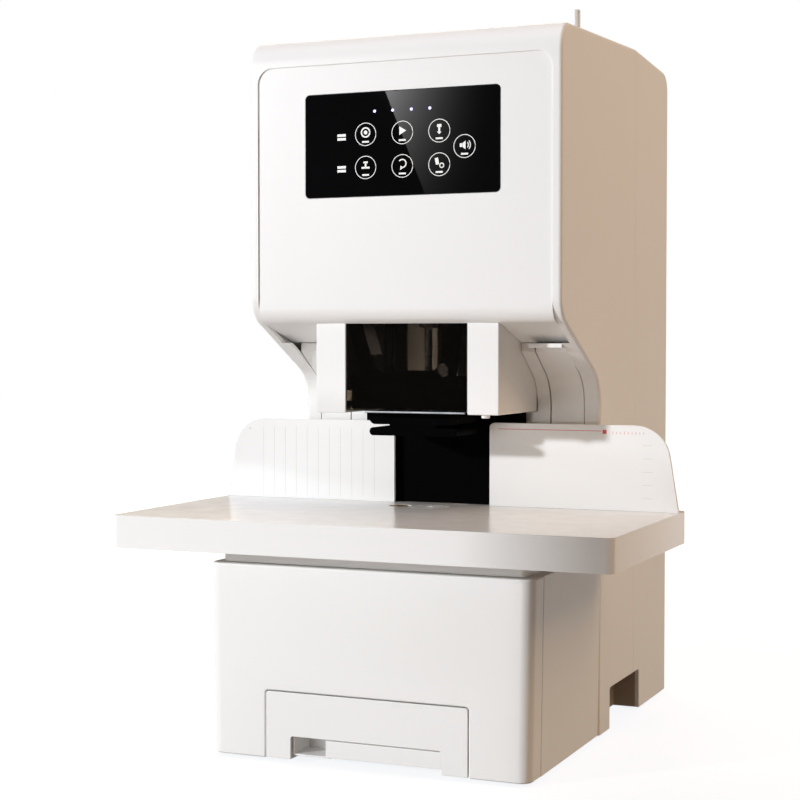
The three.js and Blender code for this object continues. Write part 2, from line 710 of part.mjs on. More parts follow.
add('c_frame', join(
  cut(prism(frameOutline, 'x', about(0, frame.width)), ...frameHoles, frameWindow),
  ...studs,
), 'castIron');

const logic = { width: 110, height: 190, rise: 110.6, thickness: 1.6, partDepth: 9, partSize: 24, partPitch: 34 };
const logicZ = table.top + logic.rise;
const logicY = spineY + plateWall + boardStuds.length + seatGap;
const logicParts = [-1, 0, 1].map((i) => block(
  about(i * logic.partPitch, logic.partSize),
  [logicY, logicY + logic.thickness + logic.partDepth],
  about(logicZ + i * logic.partPitch, logic.partSize),
));
add('main_board', join(
  block(about(0, logic.width), [logicY, logicY + logic.thickness], about(logicZ, logic.height)),
  ...logicParts,
), 'board');

// Guides and lift

const blindSpan = [guidePlateBottom + guide.plate / 2, guidePlateTop + overrun];
add('lower_guide_plate', cut(
  join(
    prism(
      rectangle(about(0, 2 * guide.plateHalf), [spineY - guide.frontReach, spineY - seatGap], guide.plateRadius),
      'z', [guidePlateBottom, guidePlateTop],
    ),
    rod(guide.bearingRadius, [guidePlateTop - guide.plate / 2, guidePlateTop + guide.bearingHeight],
      [0, screwY]),
  ),
  ...mechanismHoles([guidePlateBottom - overrun, guidePlateTop + overrun]),
  rod(chuck.radius + runGap, about(guidePlateBottom, bigCut), drillPlace),
  rod(lift.screwRadius + shaftGap, blindSpan, [0, screwY]),
  rod(guide.rodRadius + shaftGap, blindSpan, [guide.rodX, guideY]),
  rod(guide.rodRadius + shaftGap, blindSpan, [-guide.rodX, guideY]),
), 'aluminium');
const guideSpan = [guidePlateBottom + guide.plate / 2 + seatGap, upperArmUnder - seatGap];
for (const [side, name] of [[-1, 'left'], [1, 'right']]) {
  add(`guide_rod_${name}`, rod(guide.rodRadius, guideSpan, [side * guide.rodX, guideY]), 'steel');
}

const gearBottom = upperArmTop + lift.gearGap;
const gearTop = gearBottom + lift.gearHeight;
const screwFoot = guidePlateBottom + guide.plate / 2 + seatGap;
add('lead_screw', turned([
  [0, screwFoot], [lift.screwRadius, screwFoot],
  [lift.screwRadius, gearBottom - seatGap], [0, gearBottom - seatGap],
], [0, screwY]), 'steel');

// A spur gear outline: each tooth has a root, a sloping flank and a flat tip.
const toothShares = { rootHalf: 0.29, tipHalf: 0.12, addendum: 1, dedendum: 1.25 };
function gearOutline(teeth, phase) {
  const points = [];
  const pitchRadius = (lift.module * teeth) / 2;
  const rootRadius = pitchRadius - toothShares.dedendum * lift.module;
  const tipRadius = pitchRadius + (toothShares.addendum - seatGap / lift.module) * lift.module;
  for (let i = 0; i < teeth; i++) {
    const tooth = [
      [rootRadius, -toothShares.rootHalf], [tipRadius, -toothShares.tipHalf],
      [tipRadius, toothShares.tipHalf], [rootRadius, toothShares.rootHalf],
    ];
    for (const [radius, share] of tooth) {
      const angle = ((i + phase + share) / teeth) * 2 * Math.PI;
      points.push(new THREE.Vector2(radius * Math.cos(angle), radius * Math.sin(angle)));
    }
  }
  return points;
}
// The gear has a tooth towards the pinion at +Y, and the pinion has a gap towards the gear at -Y.
const gearSpan = [gearBottom, gearTop];
const gearForm = prism(gearOutline(lift.gearTeeth, 0), 'z', gearSpan).translate([0, screwY, 0]);
const gearDish = ring(
  lift.gearWeb + lift.gearHub / 2, lift.gearHub,
  [gearTop - lift.gearWebDepth, gearTop + overrun], [0, screwY],
);
add('screw_gear', cut(gearForm, gearDish), 'brass');
const halfTooth = 1 / 2;
const pinionForm = prism(gearOutline(lift.pinionTeeth, halfTooth), 'z', gearSpan).translate([0, pinionY, 0]);
add('motor_pinion', join(
  pinionForm,
  rod(lift.shaftRadius, [upperArmUnder, gearTop], [0, pinionY]),
), 'steel');
const motorTop = upperArmUnder - seatGap;
add('lift_motor', turned([
  [0, motorTop - lift.motorHeight], [lift.capRadius, motorTop - lift.motorHeight],
  [lift.capRadius, motorTop - lift.motorHeight + lift.motorCap],
  [lift.motorRadius, motorTop - lift.motorHeight + lift.motorCap], [lift.motorRadius, motorTop], [0, motorTop],
], [0, pinionY]), 'aluminium');

// Carriage with the drill spindle, its motor and belt, and the rivet punch

const carriage = {
  bottomRise: 204.6, height: 24, halfWidth: 61, frontReach: 16.5, rearReach: 12, cornerRadius: 5, nutRadius: 11,
  nutHeight: 10,
};
const carriageBottom = table.top + carriage.bottomRise;
const carriageY = [drillY - carriage.frontReach, screwY + carriage.rearReach];
const carriageTop = carriageBottom + carriage.height;
const spindle = {
  radius: 6, bearingRadius: 13.6, pulleyRadius: 12.6, flangeRadius: 14.8, pulleyHeight: 13, flange: 1.6,
  topReach: 16,
};
const drillMotor = { x: 36, radius: 15.8, height: 58, capRadius: 9, cap: 7, shaftRadius: 3 };
const motorPlace = [drillMotor.x, drillY];
const nutSpan = [carriageBottom + carriage.height / 2, carriageTop + carriage.nutHeight];
add('carriage', cut(
  join(
    prism(
      rectangle(about(0, 2 * carriage.halfWidth), carriageY, carriage.cornerRadius),
      'z', [carriageBottom, carriageTop],
    ),
    rod(carriage.nutRadius, nutSpan, [0, screwY]),
  ),
  rod(spindle.bearingRadius + shaftGap, about(carriageTop, bigCut), drillPlace),
  rod(drillMotor.shaftRadius + runGap, about(carriageTop, bigCut), motorPlace),
  rod(lift.screwRadius + shaftGap, about(carriageTop, bigCut), [0, screwY]),
  rod(guide.rodRadius + shaftGap, about(carriageTop, bigCut), [guide.rodX, guideY]),
  rod(guide.rodRadius + shaftGap, about(carriageTop, bigCut), [-guide.rodX, guideY]),
), 'aluminium');
add('spindle_bearing', ring(
  spindle.bearingRadius, spindle.radius + shaftGap,
  [carriageBottom, carriageTop], drillPlace,
), 'steel');
const pulleyTop = carriageBottom - runGap;
const pulleyBottom = pulleyTop - spindle.pulleyHeight;
const flangeInner = [pulleyBottom + spindle.flange, pulleyTop - spindle.flange];
const chuckMiddle = chuckBottom + chuck.cone;
add('spindle', turned([
  [0, chuckBottom], [chuck.radius - chuck.cone / 2, chuckBottom],
  [chuck.radius, chuckMiddle], [chuck.radius, chuckTop],
  [spindle.radius, chuckTop], [spindle.radius, pulleyBottom],
  [spindle.flangeRadius, pulleyBottom], [spindle.flangeRadius, flangeInner[0]],
  [spindle.pulleyRadius, flangeInner[0]], [spindle.pulleyRadius, flangeInner[1]],
  [spindle.flangeRadius, flangeInner[1]], [spindle.flangeRadius, pulleyTop],
  [spindle.radius, pulleyTop], [spindle.radius, carriageTop + spindle.topReach],
  [0, carriageTop + spindle.topReach],
], drillPlace), 'steel');
add('motor_pulley', turned([
  [0, pulleyBottom], [spindle.flangeRadius, pulleyBottom], [spindle.flangeRadius, flangeInner[0]],
  [spindle.pulleyRadius, flangeInner[0]], [spindle.pulleyRadius, flangeInner[1]],
  [spindle.flangeRadius, flangeInner[1]], [spindle.flangeRadius, pulleyTop],
  [drillMotor.shaftRadius, pulleyTop], [drillMotor.shaftRadius, carriageTop], [0, carriageTop],
], motorPlace), 'aluminium');
const belt = { thickness: 1.6, sideGap: 0.4 };
const beltInner = spindle.pulleyRadius + seatGap;
function beltLoop(radius, extra) {
  const points = [];
  const steps = roundSides / 2;
  for (const [x, start] of [[0, Math.PI / 2], [drillMotor.x, -Math.PI / 2]]) {
    for (let k = 0; k <= steps; k++) {
      const angle = start + (Math.PI * k) / steps;
      points.push(new THREE.Vector2(x + radius * Math.cos(angle), drillY + radius * Math.sin(angle)));
    }
  }
  return prism(points, 'z', [flangeInner[0] + belt.sideGap - extra, flangeInner[1] - belt.sideGap + extra]);
}
add('drive_belt', cut(beltLoop(beltInner + belt.thickness, 0), beltLoop(beltInner, overrun)), 'rubber');
const drillMotorFoot = carriageTop + seatGap;
add('drill_motor', turned([
  [0, drillMotorFoot], [drillMotor.radius, drillMotorFoot],
  [drillMotor.radius, drillMotorFoot + drillMotor.height - drillMotor.cap],
  [drillMotor.capRadius, drillMotorFoot + drillMotor.height - drillMotor.cap],
  [drillMotor.capRadius, drillMotorFoot + drillMotor.height], [0, drillMotorFoot + drillMotor.height],
], motorPlace), 'steel');
const bitTop = chuckBottom - seatGap;
add('drill_bit', turned([
  [drill.bitBore, bitTip], [drill.bitBore + seatGap, bitTip],
  [drill.bitRadius, bitTip + drill.bitPoint], [drill.bitRadius, bitTop], [drill.bitBore, bitTop],
], drillPlace), 'steel');
const punchTop = carriageBottom - seatGap;
add('rivet_punch', turned([
  [0, punchTip], [rivet.tipRadius / 2, punchTip], [rivet.tipRadius, punchTip + rivet.tipRadius / 2],
  [rivet.tipRadius, punchTip + rivet.coneLength],
  [rivet.radius, punchTip + rivet.coneLength + rivet.tipRadius], [rivet.radius, punchTop - rivet.flangeHeight],
  [rivet.flangeRadius, punchTop - rivet.flangeHeight],
  [rivet.flangeRadius, punchTop], [0, punchTop],
], rivetPlace), 'darkSteel');

// Worktable with the drill pad, the lower die and the chip chute under it

const pad = { radius: 16, thickness: 3.3, hole: 3.6, bossWall: 6, lowerBossRadius: 13 };
const tableForm = prism(
  rectangle(about(0, table.width), [frontY, tableRearY], table.cornerRadius),
  'z', [tableUnder, table.top], table.edgeRadius,
);
const tableHollow = block(
  about(0, table.width - 2 * table.rim),
  [frontY + table.rim, tableRearY - table.rim],
  [tableUnder - overrun, table.top - table.plate],
);
const ribs = [];
for (let i = 0; i < table.ribCount; i++) {
  const y = frontY + ((i + 1) * table.depth) / (table.ribCount + 1);
  ribs.push(block(about(0, table.width - table.rim), about(y, table.ribThickness),
    [table.top - table.plate - table.ribDepth, table.top - table.plate / 2]));
}
const bossTop = table.top - table.plate / 2;
add('worktable', cut(
  join(
    cut(tableForm, tableHollow),
    ...ribs,
    rod(pad.radius + pad.bossWall, [tableUnder + seatGap, bossTop], drillPlace),
    rod(pad.lowerBossRadius, [tableUnder + seatGap, bossTop], rivetPlace),
  ),
  rod(pad.radius + seatGap, [table.top - pad.thickness - seatGap, table.top + overrun], drillPlace),
  rod(chute.radius, [tableUnder - overrun, table.top], drillPlace),
  rod(die.radius + seatGap, [tableUnder - overrun, table.top + overrun], rivetPlace),
), 'whiteTable');
add('drill_pad', ring(pad.radius, pad.hole, [table.top - pad.thickness, table.top], drillPlace), 'nylon');
const armUnder = armTop - plateWall;
add('lower_die', turned([
  [0, armUnder - seatGap - die.heaterLength], [die.heaterRadius, armUnder - seatGap - die.heaterLength],
  [die.heaterRadius, armUnder - seatGap], [die.radius, armUnder - seatGap],
  [die.radius, table.top], [die.radius / 2, table.top], [0, table.top - die.dimple],
], rivetPlace), 'brass');
const chuteTop = armUnder - seatGap;
add('chip_chute', turned([
  [chute.radius - chute.wall, chute.bottom], [chute.radius, chute.bottom],
  [chute.radius, chuteTop - chute.flange], [chute.flangeRadius, chuteTop - chute.flange],
  [chute.flangeRadius, chuteTop], [chute.radius - chute.wall, chuteTop],
], drillPlace), 'aluminium');

// Gauge: two plates that the paper's back edge stands against, joined by a black bridge

const gauge = {
  reach: 15.5, thickness: 3, height: 65, inner: 40.5, innerRadius: 4, shoulderX: 180.3, shoulderRadius: 27,
  endX: 191, flangeDepth: 10, flange: 2.6, flangeInset: 16,
};
const bridge = { half: 67.6, wall: 2.5, inset: 7, foot: 4, footHalf: 14 };
const gaugeY = columnY - gauge.reach;
const gaugeFoot = table.top + seatGap;
const gaugeTop = table.top + gauge.height;
const gaugeRight = join(
  prism(rounded([
    [gaugeFoot, gauge.inner],
    [gaugeTop, gauge.inner, gauge.innerRadius],
    [gaugeTop, gauge.shoulderX, gauge.shoulderRadius],
    [gaugeFoot, gauge.endX],
  ]), 'y', [gaugeY, gaugeY + gauge.thickness]),
  block([bridge.half + seatGap, gauge.endX - gauge.flangeInset],
    [gaugeY + gauge.thickness / 2, gaugeY + gauge.thickness + gauge.flangeDepth],
    [gaugeFoot, gaugeFoot + gauge.flange]),
);
add('gauge_plate_right', gaugeRight, 'whiteShell');
add('gauge_plate_left', mirrored(gaugeRight), 'whiteShell');
const bridgeY = gaugeY + bridge.inset;
const bridgeTop = neckBottom - runGap;
const bridgeBar = block(about(0, 2 * bridge.half), [bridgeY, bridgeY + bridge.wall], [gaugeFoot, bridgeTop]);
function bridgeCheek(side) {
  const outer = gauge.inner + bridge.footHalf;
  const spanX = side > 0 ? [gauge.inner + bridge.foot, outer] : [-outer, -gauge.inner - bridge.foot];
  return block(spanX, [gaugeY + gauge.thickness + seatGap, bridgeY + bridge.wall / 2],
    [gaugeFoot, gaugeTop - gauge.innerRadius]);
}
add('gauge_bridge', join(bridgeBar, bridgeCheek(1), bridgeCheek(-1)), 'blackPlastic');

// Base: covers, pan, drawer and feet

const baseHalf = base.width / 2;
const collarHalf = baseHalf - base.collarInset;
const baseEndY = columnY - seatGap;
const shellTop = coverTop - seatGap;
const drawer = {
  width: 158, top: 52, bottom: 3.2, gap: 0.6, cornerRadius: 4, cutWidth: 118, cutTop: 20, recess: 60,
  wall: 2.5, front: 3, binWidth: 146, binTop: 50, binFloor: 22.4, deepFloor: 6.4, rearReach: 10,
  cutRadius: 2,
};
const drawerHole = prism(rounded([
  [bodyBottom - overrun, -drawer.width / 2 - drawer.gap],
  [drawer.top + drawer.gap, -drawer.width / 2 - drawer.gap, drawer.cornerRadius + drawer.gap],
  [drawer.top + drawer.gap, drawer.width / 2 + drawer.gap, drawer.cornerRadius + drawer.gap],
  [bodyBottom - overrun, drawer.width / 2 + drawer.gap],
]), 'y', [frontY, collarY + coverWall + seatGap]);
add('base_shell', cut(drafted(cut(
  join(
    block(about(0, base.width), [coverEndY + seatGap, baseEndY], [bodyBottom, shellTop]),
    block(about(0, 2 * collarHalf), [collarY, baseEndY], [bodyBottom, tableUnder - seatGap]),
  ),
  block(about(0, base.width - 2 * coverWall), [coverEndY + seatGap + coverWall, baseEndY + overrun],
    [bodyBottom - overrun, shellTop - coverWall]),
  block(about(0, 2 * (collarHalf - coverWall)), [collarY + coverWall, baseEndY + overrun],
    [bodyBottom - overrun, tableUnder + overrun]),
)), drawerHole), 'whiteShell');
const coverOutline = rounded([
  [-baseHalf, baseFrontY, base.cornerRadius],
  [baseHalf, baseFrontY, base.cornerRadius],
  [baseHalf, coverEndY + overrun],
  [-baseHalf, coverEndY + overrun],
]);
const coverInside = rounded([
  [-baseHalf + coverWall, baseFrontY + coverWall, base.cornerRadius - coverWall],
  [baseHalf - coverWall, baseFrontY + coverWall, base.cornerRadius - coverWall],
  [baseHalf - coverWall, coverEndY + 2 * overrun],
  [-baseHalf + coverWall, coverEndY + 2 * overrun],
]);
add('base_front_cover', cut(drafted(cut(
  prism(coverOutline, 'z', [bodyBottom, coverTop], base.edgeRadius),
  prism(coverInside, 'z', [bodyBottom - overrun, coverTop - coverWall]),
  block(about(0, base.width + overrun), [coverEndY, coverEndY + bigCut], [0, coverTop + overrun]),
  block(about(0, 2 * (collarHalf + seatGap)), [collarY - seatGap, coverEndY + overrun],
    [0, coverTop + overrun]),
)), drawerHole), 'whiteShell');

// Pan: a steel floor with the drawer's rails and a hand pocket on each side
const pan = { half: 112, front: 43, rearGap: 6, flange: 10, railHeight: 14, railWidth: 2, railLedge: 3 };
const panRearY = innerRearY - pan.rearGap;
const panFrontY = frontY + pan.front;
const binHalf = drawer.binWidth / 2;
const railEnd = columnY - drawer.rearReach;
const binFrontY = baseFrontY + drawer.front + seatGap;
const recessY = binFrontY + drawer.recess;
const wellEnd = recessY + drawer.wall;
const pocketHalf = headHalf - coverWall - seatGap;
const pocketInner = pocketHalf - hold.depth;
const pocketSpan = [holdSpan[0] - sheetWall, holdSpan[1] + sheetWall];
const pocketTop = hold.height + sheetWall;
function pocket() {
  const outer = block([pocketInner, pocketHalf], pocketSpan, [bodyBottom, pocketTop]);
  const inner = block([pocketInner + sheetWall, pocketHalf + overrun], holdSpan,
    [bodyBottom - overrun, hold.height]);
  return cut(outer, inner);
}
function rail() {
  const x0 = binHalf + runGap;
  const wall = block([x0, x0 + pan.railWidth], [panFrontY, railEnd], [bodyBottom, panTop + pan.railHeight]);
  const ledge = block([x0 - pan.railLedge, x0 + pan.railWidth], [wellEnd, railEnd],
    [bodyBottom, drawer.deepFloor - seatGap]);
  return join(wall, ledge);
}
const panFlat = join(
  block(about(0, 2 * pan.half), [panFrontY, panRearY], [bodyBottom, panTop]),
  block(about(0, 2 * pan.half), [panRearY - sheetWall, panRearY], [bodyBottom, panTop + pan.flange]),
);
const pocketWell = block([pocketInner + sheetWall / 2, pan.half + overrun], [pocketSpan[0] + sheetWall / 2,
  pocketSpan[1] - sheetWall / 2], [bodyBottom - overrun, panTop + overrun]);
const drawerWell = block(about(0, drawer.width + 2 * drawer.gap), [frontY, wellEnd],
  [bodyBottom - overrun, panTop + overrun]);
const footPlaces = [];
for (const x of [-1, 1]) {
  for (const y of [-1, 1]) {
    const edge = y < 0 ? panFrontY : panRearY;
    footPlaces.push([x * (headHalf - foot.insetX), edge - y * foot.insetY]);
  }
}
const studHoles = footPlaces.map((place) => {
  return rod(foot.studRadius + seatGap, about(bodyBottom, overrun), place, smallSides);
});
add('base_pan', cut(
  join(cut(panFlat, pocketWell, mirrored(pocketWell), drawerWell), pocket(), mirrored(pocket()), rail(),
    mirrored(rail())),
  ...studHoles,
), 'steel');
const footNames = ['front_left', 'rear_left', 'front_right', 'rear_right'];
footPlaces.forEach((place, i) => {
  add(`foot_${footNames[i]}`, turned([
    [0, 0], [foot.radius - foot.chamfer, 0], [foot.radius, foot.chamfer], [foot.radius, foot.height],
    [foot.studRadius, foot.height], [foot.studRadius, foot.height + foot.studHeight],
    [0, foot.height + foot.studHeight],
  ], place, smallSides), 'rubber');
});

// Drawer: a deep bin behind, shallow over the finger recess in front
const binCorners = [
  [binFrontY, drawer.binFloor], [recessY, drawer.binFloor], [recessY, drawer.deepFloor],
  [railEnd, drawer.deepFloor], [railEnd, drawer.binTop], [binFrontY, drawer.binTop],
];
const binInner = offset(binCorners, drawer.wall, true).map(([y, z]) => {
  return [y, z > drawer.binTop - 2 * drawer.wall ? drawer.binTop + overrun : z];
});
const cheekX = drawer.cutWidth / 2;
function cheek(side) {
  const spanX = side > 0 ? [cheekX, cheekX + drawer.wall] : [-cheekX - drawer.wall, -cheekX];
  return block(spanX, [binFrontY, recessY + drawer.wall / 2],
    [drawer.bottom, drawer.binFloor + drawer.wall / 2]);
}
add('drawer_bin', join(
  cut(
    prism(rounded(binCorners), 'x', about(0, drawer.binWidth)),
    prism(rounded(binInner), 'x', about(0, drawer.binWidth - 2 * drawer.wall)),
  ),
  cheek(1),
  cheek(-1),
), 'whiteShell');
add('drawer_front', prism(rounded([
  [drawer.bottom, -drawer.width / 2],
  [drawer.bottom, -drawer.cutWidth / 2],
  [drawer.cutTop, -drawer.cutWidth / 2, drawer.cutRadius],
  [drawer.cutTop, drawer.cutWidth / 2, drawer.cutRadius],
  [drawer.bottom, drawer.cutWidth / 2],
  [drawer.bottom, drawer.width / 2],
  [drawer.top, drawer.width / 2, drawer.cornerRadius],
  [drawer.top, -drawer.width / 2, drawer.cornerRadius],
].reverse()), 'y', [baseFrontY, baseFrontY + drawer.front]), 'whiteShell');

// Power: supply, inlet, switch and fan

const powerUnit = {
  width: 130, height: 39, frontGap: 6, rearGap: 22, lid: 1.5,
  ventWidth: 3, ventCount: 9, ventPitch: 9, ventMargin: 18,
};
const supplySpan = [
  spineY + plateWall + frame.footReach + powerUnit.frontGap,
  panRearY - sheetWall - powerUnit.rearGap,
];
const supplyTop = panTop + seatGap + powerUnit.height;
const ventSpan = [supplySpan[0] + powerUnit.ventMargin, supplySpan[1] - powerUnit.ventMargin];
const supplyVents = [];
for (let i = 0; i < powerUnit.ventCount; i++) {
  const x = (i - (powerUnit.ventCount - 1) / 2) * powerUnit.ventPitch;
  supplyVents.push(block(about(x, powerUnit.ventWidth), ventSpan, [supplyTop - powerUnit.lid, supplyTop + overrun]));
}
add('power_supply', cut(
  block(about(0, powerUnit.width), supplySpan, [panTop + seatGap, supplyTop]),
  ...supplyVents,
), 'steel');

const inletZ = about(inlet.z, inlet.height);
const inletFlangeY = [innerRearY - seatGap - inlet.flangeDepth, innerRearY - seatGap];
function inletPin(dx, dz) {
  const root = rearY - inlet.cavityDepth - seatGap;
  return block(about(inlet.x + dx, inlet.pinWidth), [root, root + inlet.pinLength],
    about(inlet.z + dz, inlet.pinHeight));
}
add('power_inlet', join(
  cut(
    join(
      block(about(inlet.x, inlet.width), [rearY - inlet.depth, rearY], inletZ),
      block(about(inlet.x, inlet.width + 2 * inlet.flange), inletFlangeY,
        about(inlet.z, inlet.height + inlet.flange)),
    ),
    prism(rectangle(about(inlet.z, inlet.cavityHeight), about(inlet.x, inlet.cavityWidth), inlet.cornerRadius),
      'y', [rearY - inlet.cavityDepth, rearY + overrun]),
  ),
  inletPin(-inlet.pinPitch / 2, inlet.pinLift),
  inletPin(inlet.pinPitch / 2, inlet.pinLift),
  inletPin(0, inlet.earthLift),
), 'blackPlastic');
add('switch_body', cut(
  join(
    block(about(powerSwitch.x, powerSwitch.width), [rearY - powerSwitch.depth, rearY],
      about(inlet.z, powerSwitch.height)),
    block(about(powerSwitch.x, powerSwitch.width + 2 * powerSwitch.flange),
      [innerRearY - seatGap - powerSwitch.flangeDepth, innerRearY - seatGap],
      about(inlet.z, powerSwitch.height + 2 * powerSwitch.flange)),
  ),
  block(about(powerSwitch.x, powerSwitch.cavityWidth), [rearY - powerSwitch.cavityDepth, rearY + overrun],
    about(inlet.z, powerSwitch.cavityHeight)),
), 'blackPlastic');
const pivotY = rearY - powerSwitch.pivotDepth;
const rockerOutline = [
  [pivotY - powerSwitch.rockerRear, inlet.z - powerSwitch.rockerHalf],
  [pivotY + powerSwitch.rockerFront - powerSwitch.rockerProud, inlet.z - powerSwitch.rockerHalf],
  [pivotY + powerSwitch.rockerFront, inlet.z],
  [pivotY + powerSwitch.rockerFront + powerSwitch.rockerProud, inlet.z + powerSwitch.rockerHalf],
  [pivotY - powerSwitch.rockerRear, inlet.z + powerSwitch.rockerHalf],
];
const rockerSpan = about(powerSwitch.x, powerSwitch.cavityWidth - 2 * seatGap);
add('switch_rocker', prism(rounded(rockerOutline), 'x', rockerSpan), 'blackPlastic');

const fanRear = innerRearY - seatGap;
const fanFront = fanRear - fan.depth;
const fanPlace = [0, fanZ];
const struts = [];
for (let i = 0; i < fan.strutCount; i++) {
  const reach = [fan.seatRadius - fan.strutWidth / 2, fan.boreRadius + fan.strutWidth / 2];
  const bar = block(reach, [fanRear - fan.seatDepth, fanRear], about(0, fan.strutWidth));
  struts.push(bar.rotate([0, (i * fullTurn) / fan.strutCount, 0]).translate([0, 0, fanZ]));
}
add('fan_housing', cut(
  join(
    cut(
      prism(rectangle(about(fanZ, fan.size), about(0, fan.size), fan.cornerRadius), 'y', [fanFront, fanRear]),
      rodAlongY(fan.boreRadius, [fanFront - overrun, fanRear + overrun], fanPlace),
    ),
    rodAlongY(fan.seatRadius, [fanRear - fan.seatDepth, fanRear], fanPlace),
    ...struts,
  ),
  rodAlongY(fan.pinRadius + shaftGap, [fanFront, fanRear + overrun], fanPlace),
), 'blackPlastic');
const hubRear = fanRear - fan.seatDepth - seatGap;
const hubFront = hubRear - fan.hubDepth;
const blades = [];
for (let i = 0; i < fan.bladeCount; i++) {
  const reach = [fan.hubRadius / 2, fan.bladeRadius];
  const blade = block(reach, about(0, fan.bladeDepth), about(0, fan.bladeThickness));
  const around = [0, (i * fullTurn) / fan.bladeCount, 0];
  const leaned = blade.rotate([fan.bladeTilt, 0, 0]).rotate(around);
  blades.push(leaned.translate([0, (hubFront + hubRear) / 2, fanZ]));
}
add('fan_rotor', join(
  rodAlongY(fan.hubRadius, [hubFront, hubRear], fanPlace),
  rodAlongY(fan.pinRadius, [hubRear - fan.seatDepth, fanRear - seatGap], fanPlace),
  ...blades,
), 'blackPlastic');

// Rivet tube feed

add('tube_guide', turned([
  [tube.sleeveRadius - tube.sleeveWall, collarBottom - tube.sleeveLength],
  [tube.sleeveRadius, collarBottom - tube.sleeveLength], [tube.sleeveRadius, collarBottom],
  [tube.collarRadius, collarBottom], [tube.collarRadius, collarBottom + tube.collarHeight - tube.collarCone],
  [tube.collarRadius - tube.collarCone, collarBottom + tube.collarHeight],
  [tube.sleeveRadius - tube.sleeveWall, collarBottom + tube.collarHeight],
], tubePlace), 'whiteShell');
const tubeTop = topAtTube + tube.standing;
const tubeFoot = tubeTop - tube.length;
const tipRing = tube.radius - tube.tipRadius;
add('rivet_tube', turned([
  [tube.bore, tubeFoot], [tube.radius, tubeFoot], [tube.radius, tubeTop - tube.tipRadius],
  [tipRing + tube.tipRadius / 2, tubeTop - tube.tipRadius * tube.tipShare], [tipRing, tubeTop],
  [tube.bore, tubeTop],
], tubePlace), 'nylon');
const tubeFeed = {
  rollerRadius: 9.7, pinchRadius: 6.7, axleRadius: 2.5, hubRadius: 4.5, width: 13, rise: 282.6, bracketWall: 3,
  bracketInner: 42, bracketOuter: 117, bracketLowRise: 250.6, bracketHighRise: 306.6, cornerRadius: 3,
  motorRadius: 16, motorLength: 34,
};
const feedZ = table.top + tubeFeed.rise;
const bracketLow = table.top + tubeFeed.bracketLowRise;
const bracketHigh = table.top + tubeFeed.bracketHighRise;
const bracketY = spineY + plateWall + seatGap;
const bracketRear = bracketY + tubeFeed.bracketWall;
const feedX = tube.x - tube.radius - seatGap - tubeFeed.rollerRadius;
const pinchX = tube.x + tube.radius + seatGap + tubeFeed.pinchRadius;
const rollerSpan = about(tubeY, tubeFeed.width);
add('feed_bracket', cut(
  prism(
    rectangle([bracketLow, bracketHigh], [tubeFeed.bracketInner, tubeFeed.bracketOuter], tubeFeed.cornerRadius),
    'y', [bracketY, bracketRear],
  ),
  rodAlongY(tubeFeed.axleRadius + shaftGap, about(bracketY, bigCut), [feedX, feedZ]),
  rodAlongY(tubeFeed.axleRadius + shaftGap, about(bracketY, bigCut), [pinchX, feedZ]),
), 'steel');
function roller(radius, x) {
  return turnedAlongY([
    [0, rollerSpan[0]], [radius, rollerSpan[0]], [radius, rollerSpan[1]], [tubeFeed.hubRadius, rollerSpan[1]],
    [tubeFeed.hubRadius, bracketY - seatGap], [tubeFeed.axleRadius, bracketY - seatGap], [tubeFeed.axleRadius, bracketRear],
    [0, bracketRear],
  ], [x, feedZ]);
}
add('feed_roller', roller(tubeFeed.rollerRadius, feedX), 'rubber');
add('pinch_roller', roller(tubeFeed.pinchRadius, pinchX), 'steel');
add('feed_motor', rodAlongY(tubeFeed.motorRadius, [bracketRear + seatGap, bracketRear + seatGap + tubeFeed.motorLength],
  [feedX, feedZ]), 'steel');

export default machine;
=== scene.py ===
# %% [markdown]
# # A desk machine that drills and rivets a stack of paper
#
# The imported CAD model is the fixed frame: it says where each piece is and which body it moves with. This
# script builds the pieces that show as smooth surfaces, gives every piece its material, and sets up a
# plain studio. All shapes are worked out in millimetres with numpy, and turned to metres when they become
# a mesh.

# %% Load the frame
import json
import math

import bmesh
import bpy
import numpy as np
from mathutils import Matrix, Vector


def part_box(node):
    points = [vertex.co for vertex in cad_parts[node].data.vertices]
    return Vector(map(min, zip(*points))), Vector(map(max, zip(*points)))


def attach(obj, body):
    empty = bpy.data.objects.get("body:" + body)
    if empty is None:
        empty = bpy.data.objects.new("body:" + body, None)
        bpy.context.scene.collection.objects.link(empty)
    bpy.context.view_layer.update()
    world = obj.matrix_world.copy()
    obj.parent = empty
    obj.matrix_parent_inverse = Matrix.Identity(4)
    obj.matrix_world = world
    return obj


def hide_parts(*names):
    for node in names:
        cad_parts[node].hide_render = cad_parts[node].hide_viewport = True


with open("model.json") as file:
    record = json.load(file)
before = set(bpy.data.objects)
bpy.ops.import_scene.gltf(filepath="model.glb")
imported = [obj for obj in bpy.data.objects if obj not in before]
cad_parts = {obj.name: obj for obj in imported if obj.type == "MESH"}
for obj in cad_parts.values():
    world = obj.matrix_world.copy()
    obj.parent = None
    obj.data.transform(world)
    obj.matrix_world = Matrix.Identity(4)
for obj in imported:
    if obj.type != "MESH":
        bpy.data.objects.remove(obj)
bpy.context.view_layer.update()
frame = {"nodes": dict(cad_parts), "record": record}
MM = 0.001


# %% [markdown]
# ## Camera
#
# A product photograph is taken from some way off with a long lens, so that the upright edges stay nearly
# parallel. The place, the turn to the side and the slight look down were fitted to corners that show in
# the photograph. A lens of about 78 mm on a 36 mm sensor keeps the same gentle perspective.

# %% Camera
camera_place = (0.5072, -1.2883, 0.3086)
camera_turn = math.radians(23.16)     # to the left of straight ahead
camera_dip = math.radians(1.97)       # below level
camera_lens = 77.9

